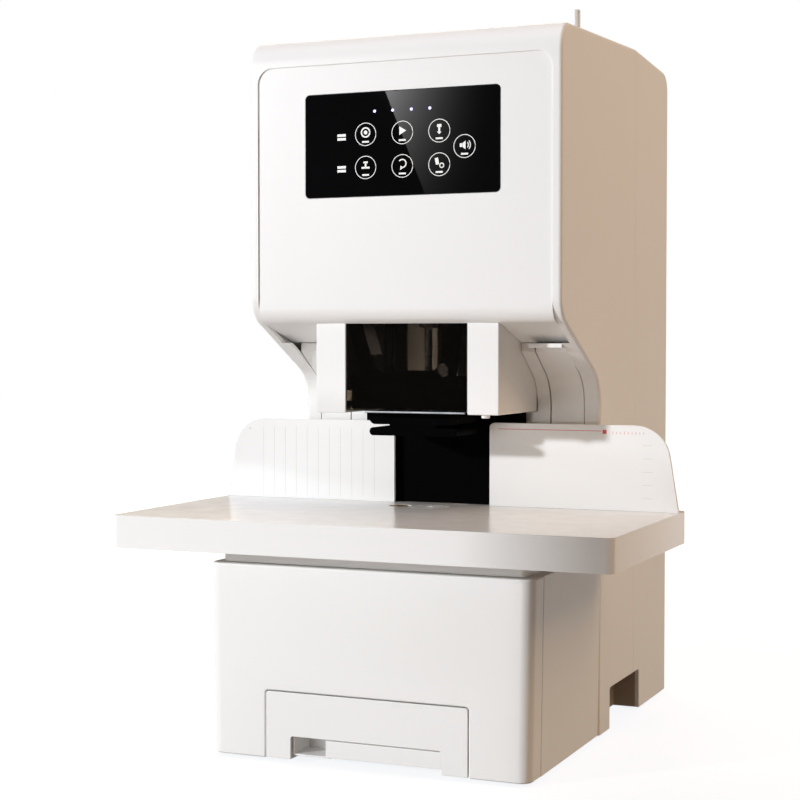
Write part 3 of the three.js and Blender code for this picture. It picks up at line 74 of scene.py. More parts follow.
camera_data = bpy.data.cameras.new("camera")
camera_data.lens = camera_lens
camera_data.sensor_width = 36.0
camera_data.clip_start = 0.05
camera = bpy.data.objects.new("camera", camera_data)
camera.location = camera_place
camera.rotation_euler = (math.pi / 2 - camera_dip, 0.0, camera_turn)
bpy.context.scene.collection.objects.link(camera)
bpy.context.scene.camera = camera
print("camera at", camera_place, "lens", camera_lens)


# %% [markdown]
# ## Light
#
# The photograph has one soft light from the front left. Only a dim warm glow reaches the right side, so the
# white covers look beige there. Area lamps are softboxes: the larger they are, the softer the shadow edge.
# The world gives the rest, and shows as plain white where the camera or a reflection looks straight at it.

# %% Colour, node and lamp helpers
def hex_to_linear(code):
    """A colour written as an sRGB hex code, as linear red, green, blue and alpha."""
    srgb = np.array([int(code[i:i + 2], 16) for i in (1, 3, 5)]) / 255
    linear = np.where(srgb <= 0.04045, srgb / 12.92, ((srgb + 0.055) / 1.055) ** 2.4)
    return (*linear.tolist(), 1.0)


def add_node(tree, kind, inputs=None, **settings):
    """Adds one node, with its settings, and with each input set to a value or linked to a socket."""
    node = tree.nodes.new("ShaderNode" + kind)
    for name, value in settings.items():
        setattr(node, name, value)
    for name, value in (inputs or {}).items():
        socket = node.inputs[name]
        if isinstance(value, bpy.types.NodeSocket):
            tree.links.new(value, socket)
        else:
            socket.default_value = value
    return node


def turn_to(place, aim):
    """The rotation that turns an object's -Z from its place to its aim."""
    direction = np.array(aim, float) - np.array(place, float)
    flat = math.hypot(direction[0], direction[1])
    return math.atan2(flat, -direction[2]), 0.0, math.atan2(-direction[0], direction[1])


def add_lamp(name, place, aim, size, watts, colour):
    """A square softbox at a place, turned to face its aim. The camera itself doesn't see it."""
    data = bpy.data.lights.new(name, "AREA")
    data.shape = "SQUARE"
    data.size = size
    data.energy = watts
    data.color = hex_to_linear(colour)[:3]
    lamp = bpy.data.objects.new(name, data)
    lamp.location = place
    lamp.visible_camera = False
    lamp.rotation_euler = turn_to(place, aim)
    bpy.context.scene.collection.objects.link(lamp)
    return lamp


def worked_out(tree, operation, first, second):
    """One value from two, by a sum that the operation names."""
    return add_node(tree, "Math", {0: first, 1: second}, operation=operation).outputs[0]


def seen_directly(tree):
    """1 for rays that the camera, a mirror or a clear wall sends, and 0 for the light itself."""
    ray = add_node(tree, "LightPath").outputs
    mirrored_or_seen = worked_out(tree, "MAXIMUM", ray["Is Camera Ray"], ray["Is Glossy Ray"])
    return worked_out(tree, "MAXIMUM", mirrored_or_seen, ray["Is Transmission Ray"])


def run_between(tree, value, span, results):
    """A value that runs from the first result to the second while another one runs through a span."""
    limits = {"From Min": span[0], "From Max": span[1], "To Min": results[0], "To Max": results[1]}
    return add_node(tree, "MapRange", {"Value": value, **limits}).outputs["Result"]


# %% [markdown]
# The key is a small lamp far off at the front left, so the shadow under the table is crisp. A cool softbox
# above, a warm one at the right and a pale one behind fill in what it leaves. A low one in front reaches under
# the table's edge, and a lamp of 2 cm in the neck lights the hollow behind the shield. The last two stay out
# of mirrors.

# %% Lamps and world
machine_middle = (0.0, 0.0, 0.28)
key_place = (-3.72, -4.52, 1.58)
add_lamp("key_lamp", key_place, machine_middle, 0.28, 268.0, "#f6faff")
add_lamp("overhead_softbox", (-0.3, -0.5, 2.2), machine_middle, 1.5, 7.0, "#ccdcff")
add_lamp("warm_fill", (1.7, 0.3, 1.8), machine_middle, 1.4, 21.0, "#ffd6a8")
add_lamp("rear_fill", (-1.2, 2.4, 1.4), machine_middle, 1.6, 22.0, "#fff4e6")
low_fill = add_lamp("low_front_fill", (-0.45, -1.35, 0.1), (0.0, -0.15, 0.05), 0.6, 5.6, "#f8fbff")
low_fill.visible_glossy = low_fill.visible_transmission = False     # the clear shield mirrors as transmission
work_light = add_lamp("work_light", (-0.012, -0.062, 0.336), (0.0, -0.045, 0.25), 0.02, 0.7, "#ffe9cc")
work_light.visible_glossy = False

world = bpy.data.worlds.new("studio")
world.use_nodes = True
bpy.context.scene.world = world
studio = world.node_tree
studio.nodes.clear()
glow = add_node(studio, "Background", {"Color": hex_to_linear("#ffe2bf"), "Strength": 0.17})
paper = add_node(studio, "Background", {"Color": (1.0, 1.0, 1.0, 1.0), "Strength": 1.0})
world_mix = add_node(studio, "MixShader", {0: seen_directly(studio), 1: glow.outputs[0], 2: paper.outputs[0]})
add_node(studio, "OutputWorld", {"Surface": world_mix.outputs[0]})
bpy.context.scene.view_settings.view_transform = "Standard"


# %% [markdown]
# ## Materials
#
# Each material starts from what the real one is. A Principled shader holds its typical values, and a few
# noise textures on Object coordinates give what a close look finds: the fine spark-eroded grain of a
# moulding tool, rolling lines, casting skin or the spangle of zinc. A noise texture's scale is the number
# of bumps in a metre, so a grain size in millimetres turns into a scale by a division.

# %% One material with a grain
def scale_of(size):
    """The texture scale that gives features of this size in millimetres."""
    return 1.0 / (size * MM)


def new_material(name, colour, roughness, metallic=0.0, ior=1.5):
    """A Principled material, as its node tree and its shader."""
    material = bpy.data.materials.new(name)
    material.use_nodes = True
    tree = material.node_tree
    shader = tree.nodes["Principled BSDF"]
    shader.inputs["Base Color"].default_value = hex_to_linear(colour)
    shader.inputs["Roughness"].default_value = roughness
    shader.inputs["Metallic"].default_value = metallic
    if metallic < 0.5:
        shader.inputs["IOR"].default_value = ior
    return material, tree, shader


def on_object(tree, stretch=(1.0, 1.0, 1.0)):
    """Object coordinates, squeezed by a factor along each axis."""
    place = add_node(tree, "TexCoord")
    return add_node(tree, "Mapping", {"Vector": place.outputs["Object"], "Scale": stretch}).outputs[0]


def noise(tree, vector, size, detail):
    """Noise with features of this size in millimetres, as one value."""
    grain = add_node(tree, "TexNoise", {"Vector": vector, "Scale": scale_of(size), "Detail": detail})
    return grain.outputs["Fac"]


def vary_colour(tree, shader, amount, colour_a, colour_b):
    """Lets the colour run between two shades."""
    mix = add_node(tree, "Mix", {"Factor": amount, "A": hex_to_linear(colour_a), "B": hex_to_linear(colour_b)},
                   data_type="RGBA")
    tree.links.new(mix.outputs["Result"], shader.inputs["Base Color"])


def vary_roughness(tree, shader, amount, low, high):
    """Lets the roughness run between two values."""
    tree.links.new(run_between(tree, amount, (0.0, 1.0), (low, high)), shader.inputs["Roughness"])


def add_bump(tree, shader, height, depth, strength=1.0):
    """Raises the surface by the height value times a depth in millimetres."""
    bump = add_node(tree, "Bump", {"Height": height, "Distance": depth * MM, "Strength": strength})
    tree.links.new(bump.outputs["Normal"], shader.inputs["Normal"])


def grained(name, colour, roughness, gloss, shades=None, relief=None, stretch=(1.0, 1.0, 1.0), inputs=None,
            **kind):
    """A material whose roughness, colour and relief each follow a noise of their own. Gloss is a size, a detail
    and two roughnesses, shades are a size, a detail and two colours, and relief is a size, a detail, a depth
    and, where it isn't 1, a strength. Sizes and depths are in millimetres."""
    material, tree, shader = new_material(name, colour, roughness, **kind)
    for socket, value in (inputs or {}).items():
        shader.inputs[socket].default_value = value
    space = on_object(tree, stretch)
    if shades:
        vary_colour(tree, shader, noise(tree, space, *shades[:2]), *shades[2:])
    vary_roughness(tree, shader, noise(tree, space, *gloss[:2]), *gloss[2:])
    if relief:
        add_bump(tree, shader, noise(tree, space, *relief[:2]), *relief[2:])
    return material


print("material helpers ready")


# %% [markdown]
# ### White mouldings
#
# The covers are ABS, moulded in a spark-eroded tool: the skin is satin, with a grain of about a quarter of
# a millimetre, drawn here a little coarser so that it shows. The worktable is moulded in a polished tool,
# so it is smooth enough to mirror the dark throat behind it.

# %% White mouldings
ABS_IOR = 1.53
white_shades = ("#f3f2f0", "#f5f4f2")
white_abs = grained("moulded ABS warm white", "#f4f3f1", 0.42, ior=ABS_IOR, shades=(90, 2.0, *white_shades),
                    gloss=(14, 4.0, 0.37, 0.47), relief=(0.7, 2.0, 0.012))
table_abs = grained("polished ABS white", "#f4f3f1", 0.2, ior=ABS_IOR, shades=(120, 2.0, *white_shades),
                    gloss=(20, 4.0, 0.16, 0.26), relief=(45, 1.0, 0.05, 0.6))
print(white_abs.name, "|", table_abs.name)


# %% [markdown]
# ### Dark plastics and glass
#
# The presser foot and the bridge behind the paper are black ABS with a coarser grain. The control panel is
# glass printed black on its back, so it reads as a mirror-smooth black. The safety shield is smoked acrylic:
# light passes it twice on its way to the eye, so its tint is set lighter than the dark it gives.

# %% Dark plastics and glass
black_plastic = grained("moulded ABS black", "#040404", 0.55, ior=ABS_IOR, inputs={"Specular IOR Level": 0.01},
                        shades=(30, 3.0, "#030303", "#060505"), gloss=(9, 4.0, 0.46, 0.64),
                        relief=(0.8, 2.0, 0.03))
# painted shade: the hand holds' linings are brown to stand for the shade in their hollows
shade_painted_lining = grained("painted shade brown lining", "#9c8a78", 0.6, ior=ABS_IOR, gloss=(9, 4.0, 0.52, 0.7))
panel_glass = grained("black printed glass", "#08080a", 0.008, ior=1.52, stretch=(1.0, 1.0, 0.35),
                      shades=(60, 2.0, "#070708", "#0b0b0d"), gloss=(18, 3.0, 0.004, 0.014))
shield_acrylic = grained("smoked acrylic", "#a39b93", 0.03, ior=1.49, shades=(70, 2.0, "#9f958c", "#a69c93"),
                         gloss=(25, 3.0, 0.01, 0.03), inputs={"Transmission Weight": 0.995})
print(black_plastic.name, "|", panel_glass.name, "|", shield_acrylic.name)


# %% [markdown]
# The prints are screen ink, slightly raised and not quite even. The white signs and the indicator lights are
# lit from behind, so they give a little light of their own.

# %% Inks and lights
def screen_ink(name, colour, glow=0.0):
    """Ink or a lit dot in one colour, with the strength of its own light."""
    light = {"Emission Color": hex_to_linear(colour), "Emission Strength": glow} if glow else None
    return grained(name, colour, 0.5, gloss=(2.5, 2.0, 0.42, 0.6), inputs=light)


white_ink = screen_ink("screen ink white", "#e9e9e6", 0.25)
red_ink = screen_ink("screen ink red", "#d9534f")
pale_red_ink = screen_ink("screen ink pale red", "#e8b4ae")
grey_ink = screen_ink("screen ink grey", "#dedcd8")
led_light = screen_ink("indicator light", "#cfc8ff", 1.0)
print("inks:", white_ink.name, red_ink.name, pale_red_ink.name, grey_ink.name)


# %% [markdown]
# ### Metals, rubber, nylon and circuit board
#
# Ground steel has fine lines round or along the piece, cast iron has a pebbled skin under its primer, and
# zinc-plated sheet has large dull spangles. Metals keep their colour in the reflection, so Metallic is one.

# %% Metals
steel = grained("ground steel", "#bfc1c3", 0.28, metallic=1.0, stretch=(1.0, 1.0, 14.0),
                shades=(6, 4.0, "#aeb0b3", "#cdcfd1"), gloss=(3, 4.0, 0.2, 0.36), relief=(1.2, 3.0, 0.01))
dark_steel = grained("black-oxide steel", "#2a2a2b", 0.38, metallic=1.0, stretch=(1.0, 1.0, 12.0),
                     shades=(7, 4.0, "#242425", "#353434"), gloss=(3, 3.0, 0.3, 0.48))
aluminium = grained("machined aluminium", "#b4b7ba", 0.36, metallic=1.0, stretch=(6.0, 1.0, 1.0),
                    shades=(12, 4.0, "#a5a8ab", "#c3c5c7"), gloss=(4, 4.0, 0.28, 0.44),
                    relief=(1.5, 3.0, 0.015))
brass = grained("turned brass", "#b8934f", 0.3, metallic=1.0, stretch=(1.0, 1.0, 12.0),
                shades=(8, 4.0, "#a58244", "#c4a05c"), gloss=(3, 3.0, 0.22, 0.42))
cast_iron = grained("primed cast iron", "#55585c", 0.6, shades=(40, 4.0, "#4d5054", "#5f6266"),
                    gloss=(10, 3.0, 0.5, 0.72), relief=(2.2, 4.0, 0.25))


def zinc_sheet():
    """Zinc-plated pressed sheet: cells of different dullness, 12 mm across."""
    material, tree, shader = new_material("zinc-plated sheet", "#a4a7aa", 0.4, metallic=1.0)
    cells = add_node(tree, "TexVoronoi", {"Vector": on_object(tree), "Scale": scale_of(12)})
    grey = add_node(tree, "RGBToBW", {"Color": cells.outputs["Color"]}).outputs[0]
    vary_colour(tree, shader, grey, "#94979b", "#b6b9bb")
    vary_roughness(tree, shader, grey, 0.3, 0.5)
    return material


zinc = zinc_sheet()
print("metals:", steel.name, aluminium.name, brass.name, cast_iron.name, zinc.name)


# %% [markdown]
# Rubber is matte with a dusty bloom. Extruded nylon is milky: light enters it and spreads a few millimetres,
# which is what Subsurface does. A circuit board is glass fibre under green solder mask, and its paler copper
# tracks run in square steps, as the cells of a Manhattan Voronoi texture do.

# %% Rubber, nylon and circuit board
rubber = grained("moulded rubber", "#1a1a1a", 0.82, ior=1.52, shades=(12, 4.0, "#161616", "#232220"),
                 gloss=(5, 3.0, 0.74, 0.9), relief=(1.0, 3.0, 0.04))
nylon = grained("extruded nylon", "#eceeee", 0.3, ior=ABS_IOR, stretch=(1.0, 1.0, 0.2),
                shades=(10, 2.0, "#e6e9ea", "#f3f4f4"), gloss=(6, 3.0, 0.22, 0.36),
                inputs={"Subsurface Weight": 0.5, "Subsurface Radius": (0.004, 0.004, 0.004)})


def solder_masked_board():
    """Green solder mask over paler tracks, 5 mm apart."""
    material, tree, shader = new_material("solder-masked board", "#1f6a3c", 0.45)
    tracks = add_node(tree, "TexVoronoi", {"Vector": on_object(tree), "Scale": scale_of(5)},
                      distance="MANHATTAN", feature="F1")
    edge = run_between(tree, tracks.outputs["Distance"], (0.32, 0.36), (0.0, 1.0))
    vary_colour(tree, shader, edge, "#1a5c34", "#2c8650")
    add_bump(tree, shader, edge, 0.03)
    return material


circuit_board = solder_masked_board()
print(rubber.name, "|", nylon.name, "|", circuit_board.name)


# %% [markdown]
# The record names a finish slot for each piece. One material belongs to each slot, so a piece that names its
# slot has its material too. Only the prints, the lights and the linings of the hand holds name another. The
# CAD meshes that stay in the scene get theirs here.

# %% Finish slots
slot_materials = {
    "white_shell": white_abs, "white_table": table_abs, "black_glass": panel_glass,
    "smoked_shield": shield_acrylic, "black_plastic": black_plastic, "cast_iron": cast_iron,
    "bright_steel": steel, "dark_steel": dark_steel, "zinc_sheet": zinc, "aluminium_plate": aluminium,
    "brass": brass, "circuit_board": circuit_board, "rubber": rubber, "nylon": nylon}
for part in frame["record"]["subparts"]:
    mesh = frame["nodes"][part["node"]].data
    mesh.materials.clear()
    mesh.materials.append(slot_materials[part["material_slot"]])


# %% [markdown]
# ## Shapes from arrays
#
# A shape is a pair: its points, in millimetres, and its faces. Most of this machine is sheet and plate, so
# three kinds of surface do nearly everything: an outline carried along an axis, a profile turned about an
# axis, and a cross-section carried along a path. Where an outline turns a corner, the corner is an arc.

# %% Outlines
def arc_points(centre, start, sweep, steps):
    """Points round a centre: the start vector turned through the sweep in equal steps."""
    angle = np.linspace(0.0, sweep, steps + 1)
    turn = np.stack([np.cos(angle), -np.sin(angle), np.sin(angle), np.cos(angle)], -1).reshape(-1, 2, 2)
    return centre + turn @ start


def outline(corners, closed=True, steps=8):
    """A line round corners (u, v, radius). Each arc touches both sides of its corner: its centre lies on
    the corner's bisector, at the radius divided by the sine of half the angle."""
    corners = [(*c, 0.0) if len(c) == 2 else c for c in corners]
    last = len(corners) - 1
    runs = []
    for i, (u, v, radius) in enumerate(corners):
        at = np.array([u, v], float)
        if radius <= 0 or (not closed and i in (0, last)):
            runs.append(at[None])
            continue
        before = np.array(corners[i - 1][:2]) - at
        after = np.array(corners[(i + 1) % len(corners)][:2]) - at
        before, after = before / np.linalg.norm(before), after / np.linalg.norm(after)
        half = math.acos(np.clip(before @ after, -1, 1)) / 2
        middle = (before + after) / np.linalg.norm(before + after)
        centre = at + middle * radius / math.sin(half)
        start = at + before * radius / math.tan(half) - centre
        end = at + after * radius / math.tan(half) - centre
        sweep = math.atan2(start[0] * end[1] - start[1] * end[0], start @ end)
        runs.append(arc_points(centre, start, sweep, steps))
    return np.concatenate(runs)


def rectangle(u, v, radius=0.0, steps=8):
    """A rectangle between two places on each axis, with rounded corners."""
    return outline([(u[0], v[0], radius), (u[1], v[0], radius), (u[1], v[1], radius), (u[0], v[1], radius)],
                   steps=steps)


def both_halves(left, **how):
    """An outline from its left half: the same corners follow once more on the right, in turned order."""
    return outline(left + [(-u, *rest) for u, *rest in left[::-1]], **how)


def about(middle, length):
    """A span of a length round its middle."""
    return (middle - length / 2, middle + length / 2)


def wider(span, more):
    """A span with both ends moved out, or in where the amount is negative."""
    return (span[0] - more, span[1] + more)


print("a rounded square has", len(rectangle((0, 1), (0, 1), 0.2)), "points")


# %% [markdown]
# An outline becomes a solid when it is lifted to two heights and its points are joined by quads. A turned
# piece is the same with its points carried round an axis. Shapes that cut or join are made in the same way.

# %% Solids
def grid_faces(rows, columns, close_rows=False, close_columns=False):
    """The quads of a grid of points, row after row."""
    r = np.arange(rows if close_rows else rows - 1)
    c = np.arange(columns if close_columns else columns - 1)
    r, c = (a.ravel() for a in np.meshgrid(r, c, indexing="ij"))
    below, beside = (r + 1) % rows, (c + 1) % columns
    quads = np.stack([r * columns + c, r * columns + beside, below * columns + beside, below * columns + c], -1)
    return quads.tolist()


def tube_shape(rings):
    """Rings of points (rings, points, 3) joined one to the next, with a flat face at both ends."""
    count, size = rings.shape[:2]
    faces = grid_faces(count, size, close_columns=True)
    faces += [list(range(size))[::-1], list(range((count - 1) * size, count * size))]
    return rings.reshape(-1, 3), faces


def lift_to(plane, axis, height):
    """Puts plane points at a height on the axis: (y, z) across x, (x, z) across y, (x, y) across z."""
    column = np.full(len(plane), float(height))
    order = {"x": (column, plane[:, 0], plane[:, 1]), "y": (plane[:, 0], column, plane[:, 1]),
             "z": (plane[:, 0], plane[:, 1], column)}[axis]
    return np.stack(order, -1)


def prism(plane, axis, span):
    """An outline carried along an axis, from one place to another."""
    return tube_shape(np.stack([lift_to(plane, axis, at) for at in span]))


def block(x, y, z):
    """A box between two places on each axis."""
    return prism(rectangle(x, y), "z", z)


def turned(profile, centre, sides=64):
    """A profile of (radius, height) points turned about an upright axis through its centre: each point goes
    round a circle of its own radius."""
    profile = np.asarray(profile, float)
    angle = np.linspace(0, 2 * math.pi, sides, endpoint=False)
    x = centre[0] + profile[:, 0, None] * np.cos(angle)
    y = centre[1] + profile[:, 0, None] * np.sin(angle)
    z = np.repeat(profile[:, 1, None], sides, 1)
    return np.stack([x, y, z], -1).reshape(-1, 3), grid_faces(len(profile), sides, True, True)


def cylinder(centre, radius, span):
    """An upright cylinder, or a tool for a round hole."""
    return turned([(0, span[0]), (radius, span[0]), (radius, span[1]), (0, span[1])], centre)


def together(*shapes):
    """Several shapes as one."""
    points, faces, start = [], [], 0
    for some_points, some_faces in shapes:
        points.append(some_points)
        faces += [[i + start for i in face] for face in some_faces]
        start += len(some_points)
    return np.concatenate(points), faces


def mirrored(shape):
    """The same shape on the other side of the middle."""
    points, faces = shape
    return points * (-1, 1, 1), [face[::-1] for face in faces]


RIGHT_AND_LEFT = (("right", lambda shape: shape), ("left", mirrored))     # a side and how a shape gets there
print("a block has", len(block((0, 1), (0, 1), (0, 1))[1]), "faces")


# %% [markdown]
# A mesh is made from a shape by from_pydata, its doubled points are merged and its faces turned outwards.
# A piece then gets the material of the record's slot that names its finish, and the body that it rides on.
# Holes are cut by a Boolean modifier that is applied at once, and a mould's soft edge is a Bevel modifier
# on every edge that turns by more than 30 degrees.

# %% Pieces
SHARP = math.radians(30)


def solid_mesh(name, shape):
    """The mesh of a shape, in metres, with doubles merged and faces turned outwards."""
    mesh = bpy.data.meshes.new(name)
    points, faces = shape
    mesh.from_pydata((points * MM).tolist(), [], faces)
    work = bmesh.new()
    work.from_mesh(mesh)
    bmesh.ops.remove_doubles(work, verts=work.verts, dist=1e-7)
    bmesh.ops.dissolve_degenerate(work, edges=work.edges, dist=1e-7)
    bmesh.ops.recalc_face_normals(work, faces=work.faces)
    work.to_mesh(mesh)
    work.free()
    return mesh


def bare_object(name, shape):
    """An object of a shape, in the scene."""
    thing = bpy.data.objects.new(name, solid_mesh(name, shape))
    bpy.context.scene.collection.objects.link(thing)
    return thing


def combine(piece, shapes, operation="DIFFERENCE"):
    """Cuts shapes out of a piece, or joins them to it, and keeps the result as its mesh."""
    tools = [bare_object("tool", shape) for shape in shapes]
    for tool in tools:
        step = piece.modifiers.new("combine", "BOOLEAN")
        step.operation = operation
        step.solver = "EXACT"
        step.object = tool
    bpy.context.view_layer.update()
    done = bpy.data.meshes.new_from_object(piece.evaluated_get(bpy.context.evaluated_depsgraph_get()))
    piece.modifiers.clear()
    old, piece.data = piece.data, done
    done.name = piece.name
    bpy.data.meshes.remove(old)
    for tool in tools:
        mesh = tool.data
        bpy.data.objects.remove(tool)
        bpy.data.meshes.remove(mesh)


def finish_piece(piece, slot_name, body="frame", stands_for=(), edge=0.0, segments=3, material=None):
    """Gives a piece its soft edges, its body and its material, which is the named slot's own if
    none is given."""
    piece.data.materials.clear()
    piece.data.materials.append(material or slot_materials[slot_name])
    piece.data.shade_smooth()
    piece.data.set_sharp_from_angle(angle=SHARP)
    if edge > 0:
        bevel = piece.modifiers.new("mould edge", "BEVEL")
        bevel.width = edge * MM
        bevel.segments = segments
        bevel.limit_method = "ANGLE"
        bevel.angle_limit = SHARP
        bevel.harden_normals = True
    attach(piece, body)
    if stands_for:
        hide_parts(*stands_for)
    print(f"{piece.name}: {len(piece.data.polygons)} faces")
    return piece


def make_piece(name, shape, slot_name, body="frame", stands_for=(), cut=(), add=(), **finish):
    """A finished piece from a shape, with the shapes that are added to it and less those cut from it."""
    piece = bare_object(name, shape)
    if add:
        combine(piece, add, "UNION")
    if cut:
        combine(piece, cut)
    return finish_piece(piece, slot_name, body, stands_for, **finish)


def node_box(node):
    """The lowest and the highest corner of a CAD node, in millimetres."""
    low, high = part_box(node)
    return np.array(low) / MM, np.array(high) / MM


def node_spans(node):
    """The span of a CAD node on x, y and z, in millimetres."""
    low, high = node_box(node)
    return [(low[i], high[i]) for i in range(3)]


gap = 0.3                             # between pieces that lie against each other
wall = 3.0                            # moulded covers


# %% [markdown]
# ## Body: head surround and rear cover
#
# The body is one outline in side view, carried across: its front edge runs up the column, leans out under the
# head, climbs the head's front, rolls over into the top and falls to the back. Both sides have a tight
# fillet. It could be a box with a bevel, but then every edge would have one radius. Here each cross-section
# is the side outline, moved inwards as the fillet asks, and the two mouldings are cut from it at their seam.

# %% Side outline of the body
surround_low, surround_high = node_box("body_surround")
cover_low, cover_high = node_box("rear_cover")
half_width = surround_high[0]
front_y, seam_y, back_y = surround_low[1], surround_high[1], cover_high[1]
floor_z, ridge_z = surround_low[2], surround_high[2]
front_fall, rear_fall = 9.0, 7.0      # how far the top falls from the ridge to the front and to the rear
column_high = node_box("column_cover")[1]
strip_wall = 2.5                      # of the column's covers
column_y = column_high[1] - strip_wall
side_fillet = 2.4
reach = 30.0                          # how far a cutting shape passes the piece that it cuts
support = 0.6                         # how near an edge its support points stand
long_run = 4.0                        # the shortest straight run that gets them


def with_supports(line):
    """Adds a point close to both ends of every long straight run, so that smooth shading bends only there."""
    after = np.roll(line, -1, axis=0)
    length = np.linalg.norm(after - line, axis=1, keepdims=True)
    step = (after - line) / length * support
    rows = np.stack([line, line + step, after - step], 1)
    is_long = length[:, 0] > long_run
    return rows[np.stack([np.ones_like(is_long), is_long, is_long], 1)]


def inset(line, depth):
    """Moves a closed line inwards by a depth, square to the way from each point's neighbour to the next."""
    along = np.roll(line, -1, axis=0) - np.roll(line, 1, axis=0)
    along /= np.linalg.norm(along, axis=1, keepdims=True)
    return line + np.stack([along[:, 1], -along[:, 0]], -1) * depth


body_line = with_supports(outline([
    (column_y, floor_z - reach, 8.0), (column_y, 277.0, 30.0), (front_y, 327.5, 22.0),
    (front_y, ridge_z - front_fall, 19.0), (seam_y, ridge_z, 60.0), (back_y, ridge_z - rear_fall, 16.0),
    (back_y, floor_z - reach, 8.0)], steps=16))


def rounded_body():
    """The side outline at each place across: x runs round a quarter circle at both sides while the outline
    moves inwards by what that circle leaves."""
    turn = np.linspace(0, math.pi / 2, 7)
    x = half_width - side_fillet * (1 - np.cos(turn))
    depth = side_fillet * (1 - np.sin(turn))
    x = np.concatenate([[half_width], x, [half_width - side_fillet - support]])
    depth = np.concatenate([[side_fillet + support], depth, [0.0]])
    x, depth = np.concatenate([x, -x[::-1]]), np.concatenate([depth, depth[::-1]])
    return tube_shape(np.stack([lift_to(inset(body_line, d), "x", at) for at, d in zip(x, depth)]))


body_room = prism(inset(body_line, wall), "x", about(0, 2 * (half_width - wall)))
whole_width = about(0, 2 * half_width + reach)
whole_height = (floor_z - 3 * reach, ridge_z + reach)
under_floor = block(whole_width, (front_y - reach, back_y + reach), (floor_z - 2 * reach, floor_z))
print("points in the side outline:", len(body_line))


# %% [markdown]
# The surround is the front moulding. One opening takes the head's front panel above and the column's covers
# below, and what it leaves is the rim. The table passes through a slot, the tube through a hole in the top,
# and a notch under each side takes a hand.

# %% Head surround
rim_side, rim_top, rim_corner = 6.6, 20.5, 12.0
opening_half = half_width - rim_side          # of the opening that the head's front panel fills
leg_half = half_width - 12.5                  # of the opening that the column's covers fill
opening_top = ridge_z - front_fall - rim_top
panel_rear_z = 306.7
table_x, table_y, table_z = node_spans("worktable")
hold_y, hold_top = (24.5, 110.5), 35.0


def hand_hold_cut():
    """The notch under both sides, where hands lift the machine."""
    corners = [(hold_y[0], -reach), (hold_y[1], -reach), (hold_y[1], hold_top, 3.0), (hold_y[0], hold_top, 3.0)]
    return prism(outline(corners), "x", whole_width)


opening_line = both_halves([(-leg_half, floor_z - 2 * reach), (-leg_half, panel_rear_z),
                            (-opening_half, panel_rear_z), (-opening_half, opening_top, rim_corner)])
front_opening = prism(opening_line, "y", (front_y - reach, column_y + 10))
behind_seam = block(whole_width, (seam_y, back_y + reach), whole_height)
table_slot = block(whole_width, (table_y[0], table_y[1] + gap), (table_z[0] - gap, table_z[1] + gap))
tube_middle = (98.0, 17.5)
tube_hole = cylinder(tube_middle, 6.5, (ridge_z - 40, ridge_z + 20))
make_piece("head_surround", rounded_body(), "white_shell", stands_for=["body_surround"], edge=0.6,
           cut=[body_room, behind_seam, under_floor, front_opening, table_slot, hand_hold_cut(), tube_hole])


# %% [markdown]
# The back half of the body is a second moulding that meets the first at a fine seam. It has a flat back, air
# slots for the fan, and the mains inlet and switch low down, where such machines have them.

# %% Rear cover
before_seam = block(whole_width, (front_y - reach, cover_low[1]), whole_height)
slot_width, slot_length, slot_pitch, slot_count = 3.4, 52.0, 8.0, 7
fan_z, inlet_x, switch_x, inlet_z = 330.0, -70.0, -28.0, 72.0


def back_hole(x, z, width, height, radius):
    """A rounded opening through the back wall, round its middle."""
    hole_line = rectangle(about(x, width), about(z, height), radius)
    return prism(hole_line, "y", wider((back_y - wall, back_y), reach))


air_slots = [back_hole(0, fan_z + i * slot_pitch, slot_length, slot_width, 1.6)
             for i in range(-(slot_count // 2), slot_count // 2 + 1)]
inlet_hole = back_hole(inlet_x, inlet_z, 28.6, 24.6, 2.0)
switch_hole = back_hole(switch_x, inlet_z, 15.6, 22.6, 1.0)
make_piece("rear_shell", rounded_body(), "white_shell", stands_for=["rear_cover"], edge=0.4,
           cut=[body_room, before_seam, under_floor, hand_hold_cut(), *air_slots, inlet_hole, switch_hole])


# %% [markdown]
# A cup lines each hand hold, so that the hand doesn't reach the inside. Its brown colour is painted shade for
# the hollow. It is a block with a room cut from it that is open below and to the side.

# %% Linings of the hand holds
hold_depth, lining, ease = 22.0, 0.8, 0.2
hold_inner = half_width - hold_depth
hold_roof = hold_top - ease
hold_cup = block((hold_inner, half_width - wall - gap), wider(hold_y, -ease), (floor_z + 0.5, hold_roof))
hold_room = block((hold_inner + lining, half_width + reach), wider(hold_y, -ease - lining),
                  (-reach, hold_roof - lining))
# the linings' brown is painted shade for the hollows
for side, turn_over in RIGHT_AND_LEFT:
    make_piece(f"hold_lining_{side}", turn_over(hold_cup), "black_plastic", cut=[turn_over(hold_room)],
               edge=0.3, material=shade_painted_lining)


# %% [markdown]
# ## Front panel of the head
#
# The flat front of the head is a thin moulding let into the rim. It starts at the head's top, runs down,
# rounds over at the bottom and goes back under the head to the column. A sheet follows that path, narrower
# at the two top corners, and a second one behind it gives it a wall. A Solidify modifier could thicken one
# sheet too, but the flanges behind the panel need the profile that is moved inwards anyway.

# %% Sheets along a profile
def profile_sheet(profile, half_at, columns=25):
    """A sheet across x that follows a (y, z) profile: x is u times the half width there, and u runs from
    -1 to 1."""
    u = np.linspace(-1, 1, columns)
    x = u[None] * half_at[:, None]
    y = np.repeat(profile[:, 0, None], columns, 1)
    z = np.repeat(profile[:, 1, None], columns, 1)
    return np.stack([x, y, z], -1)


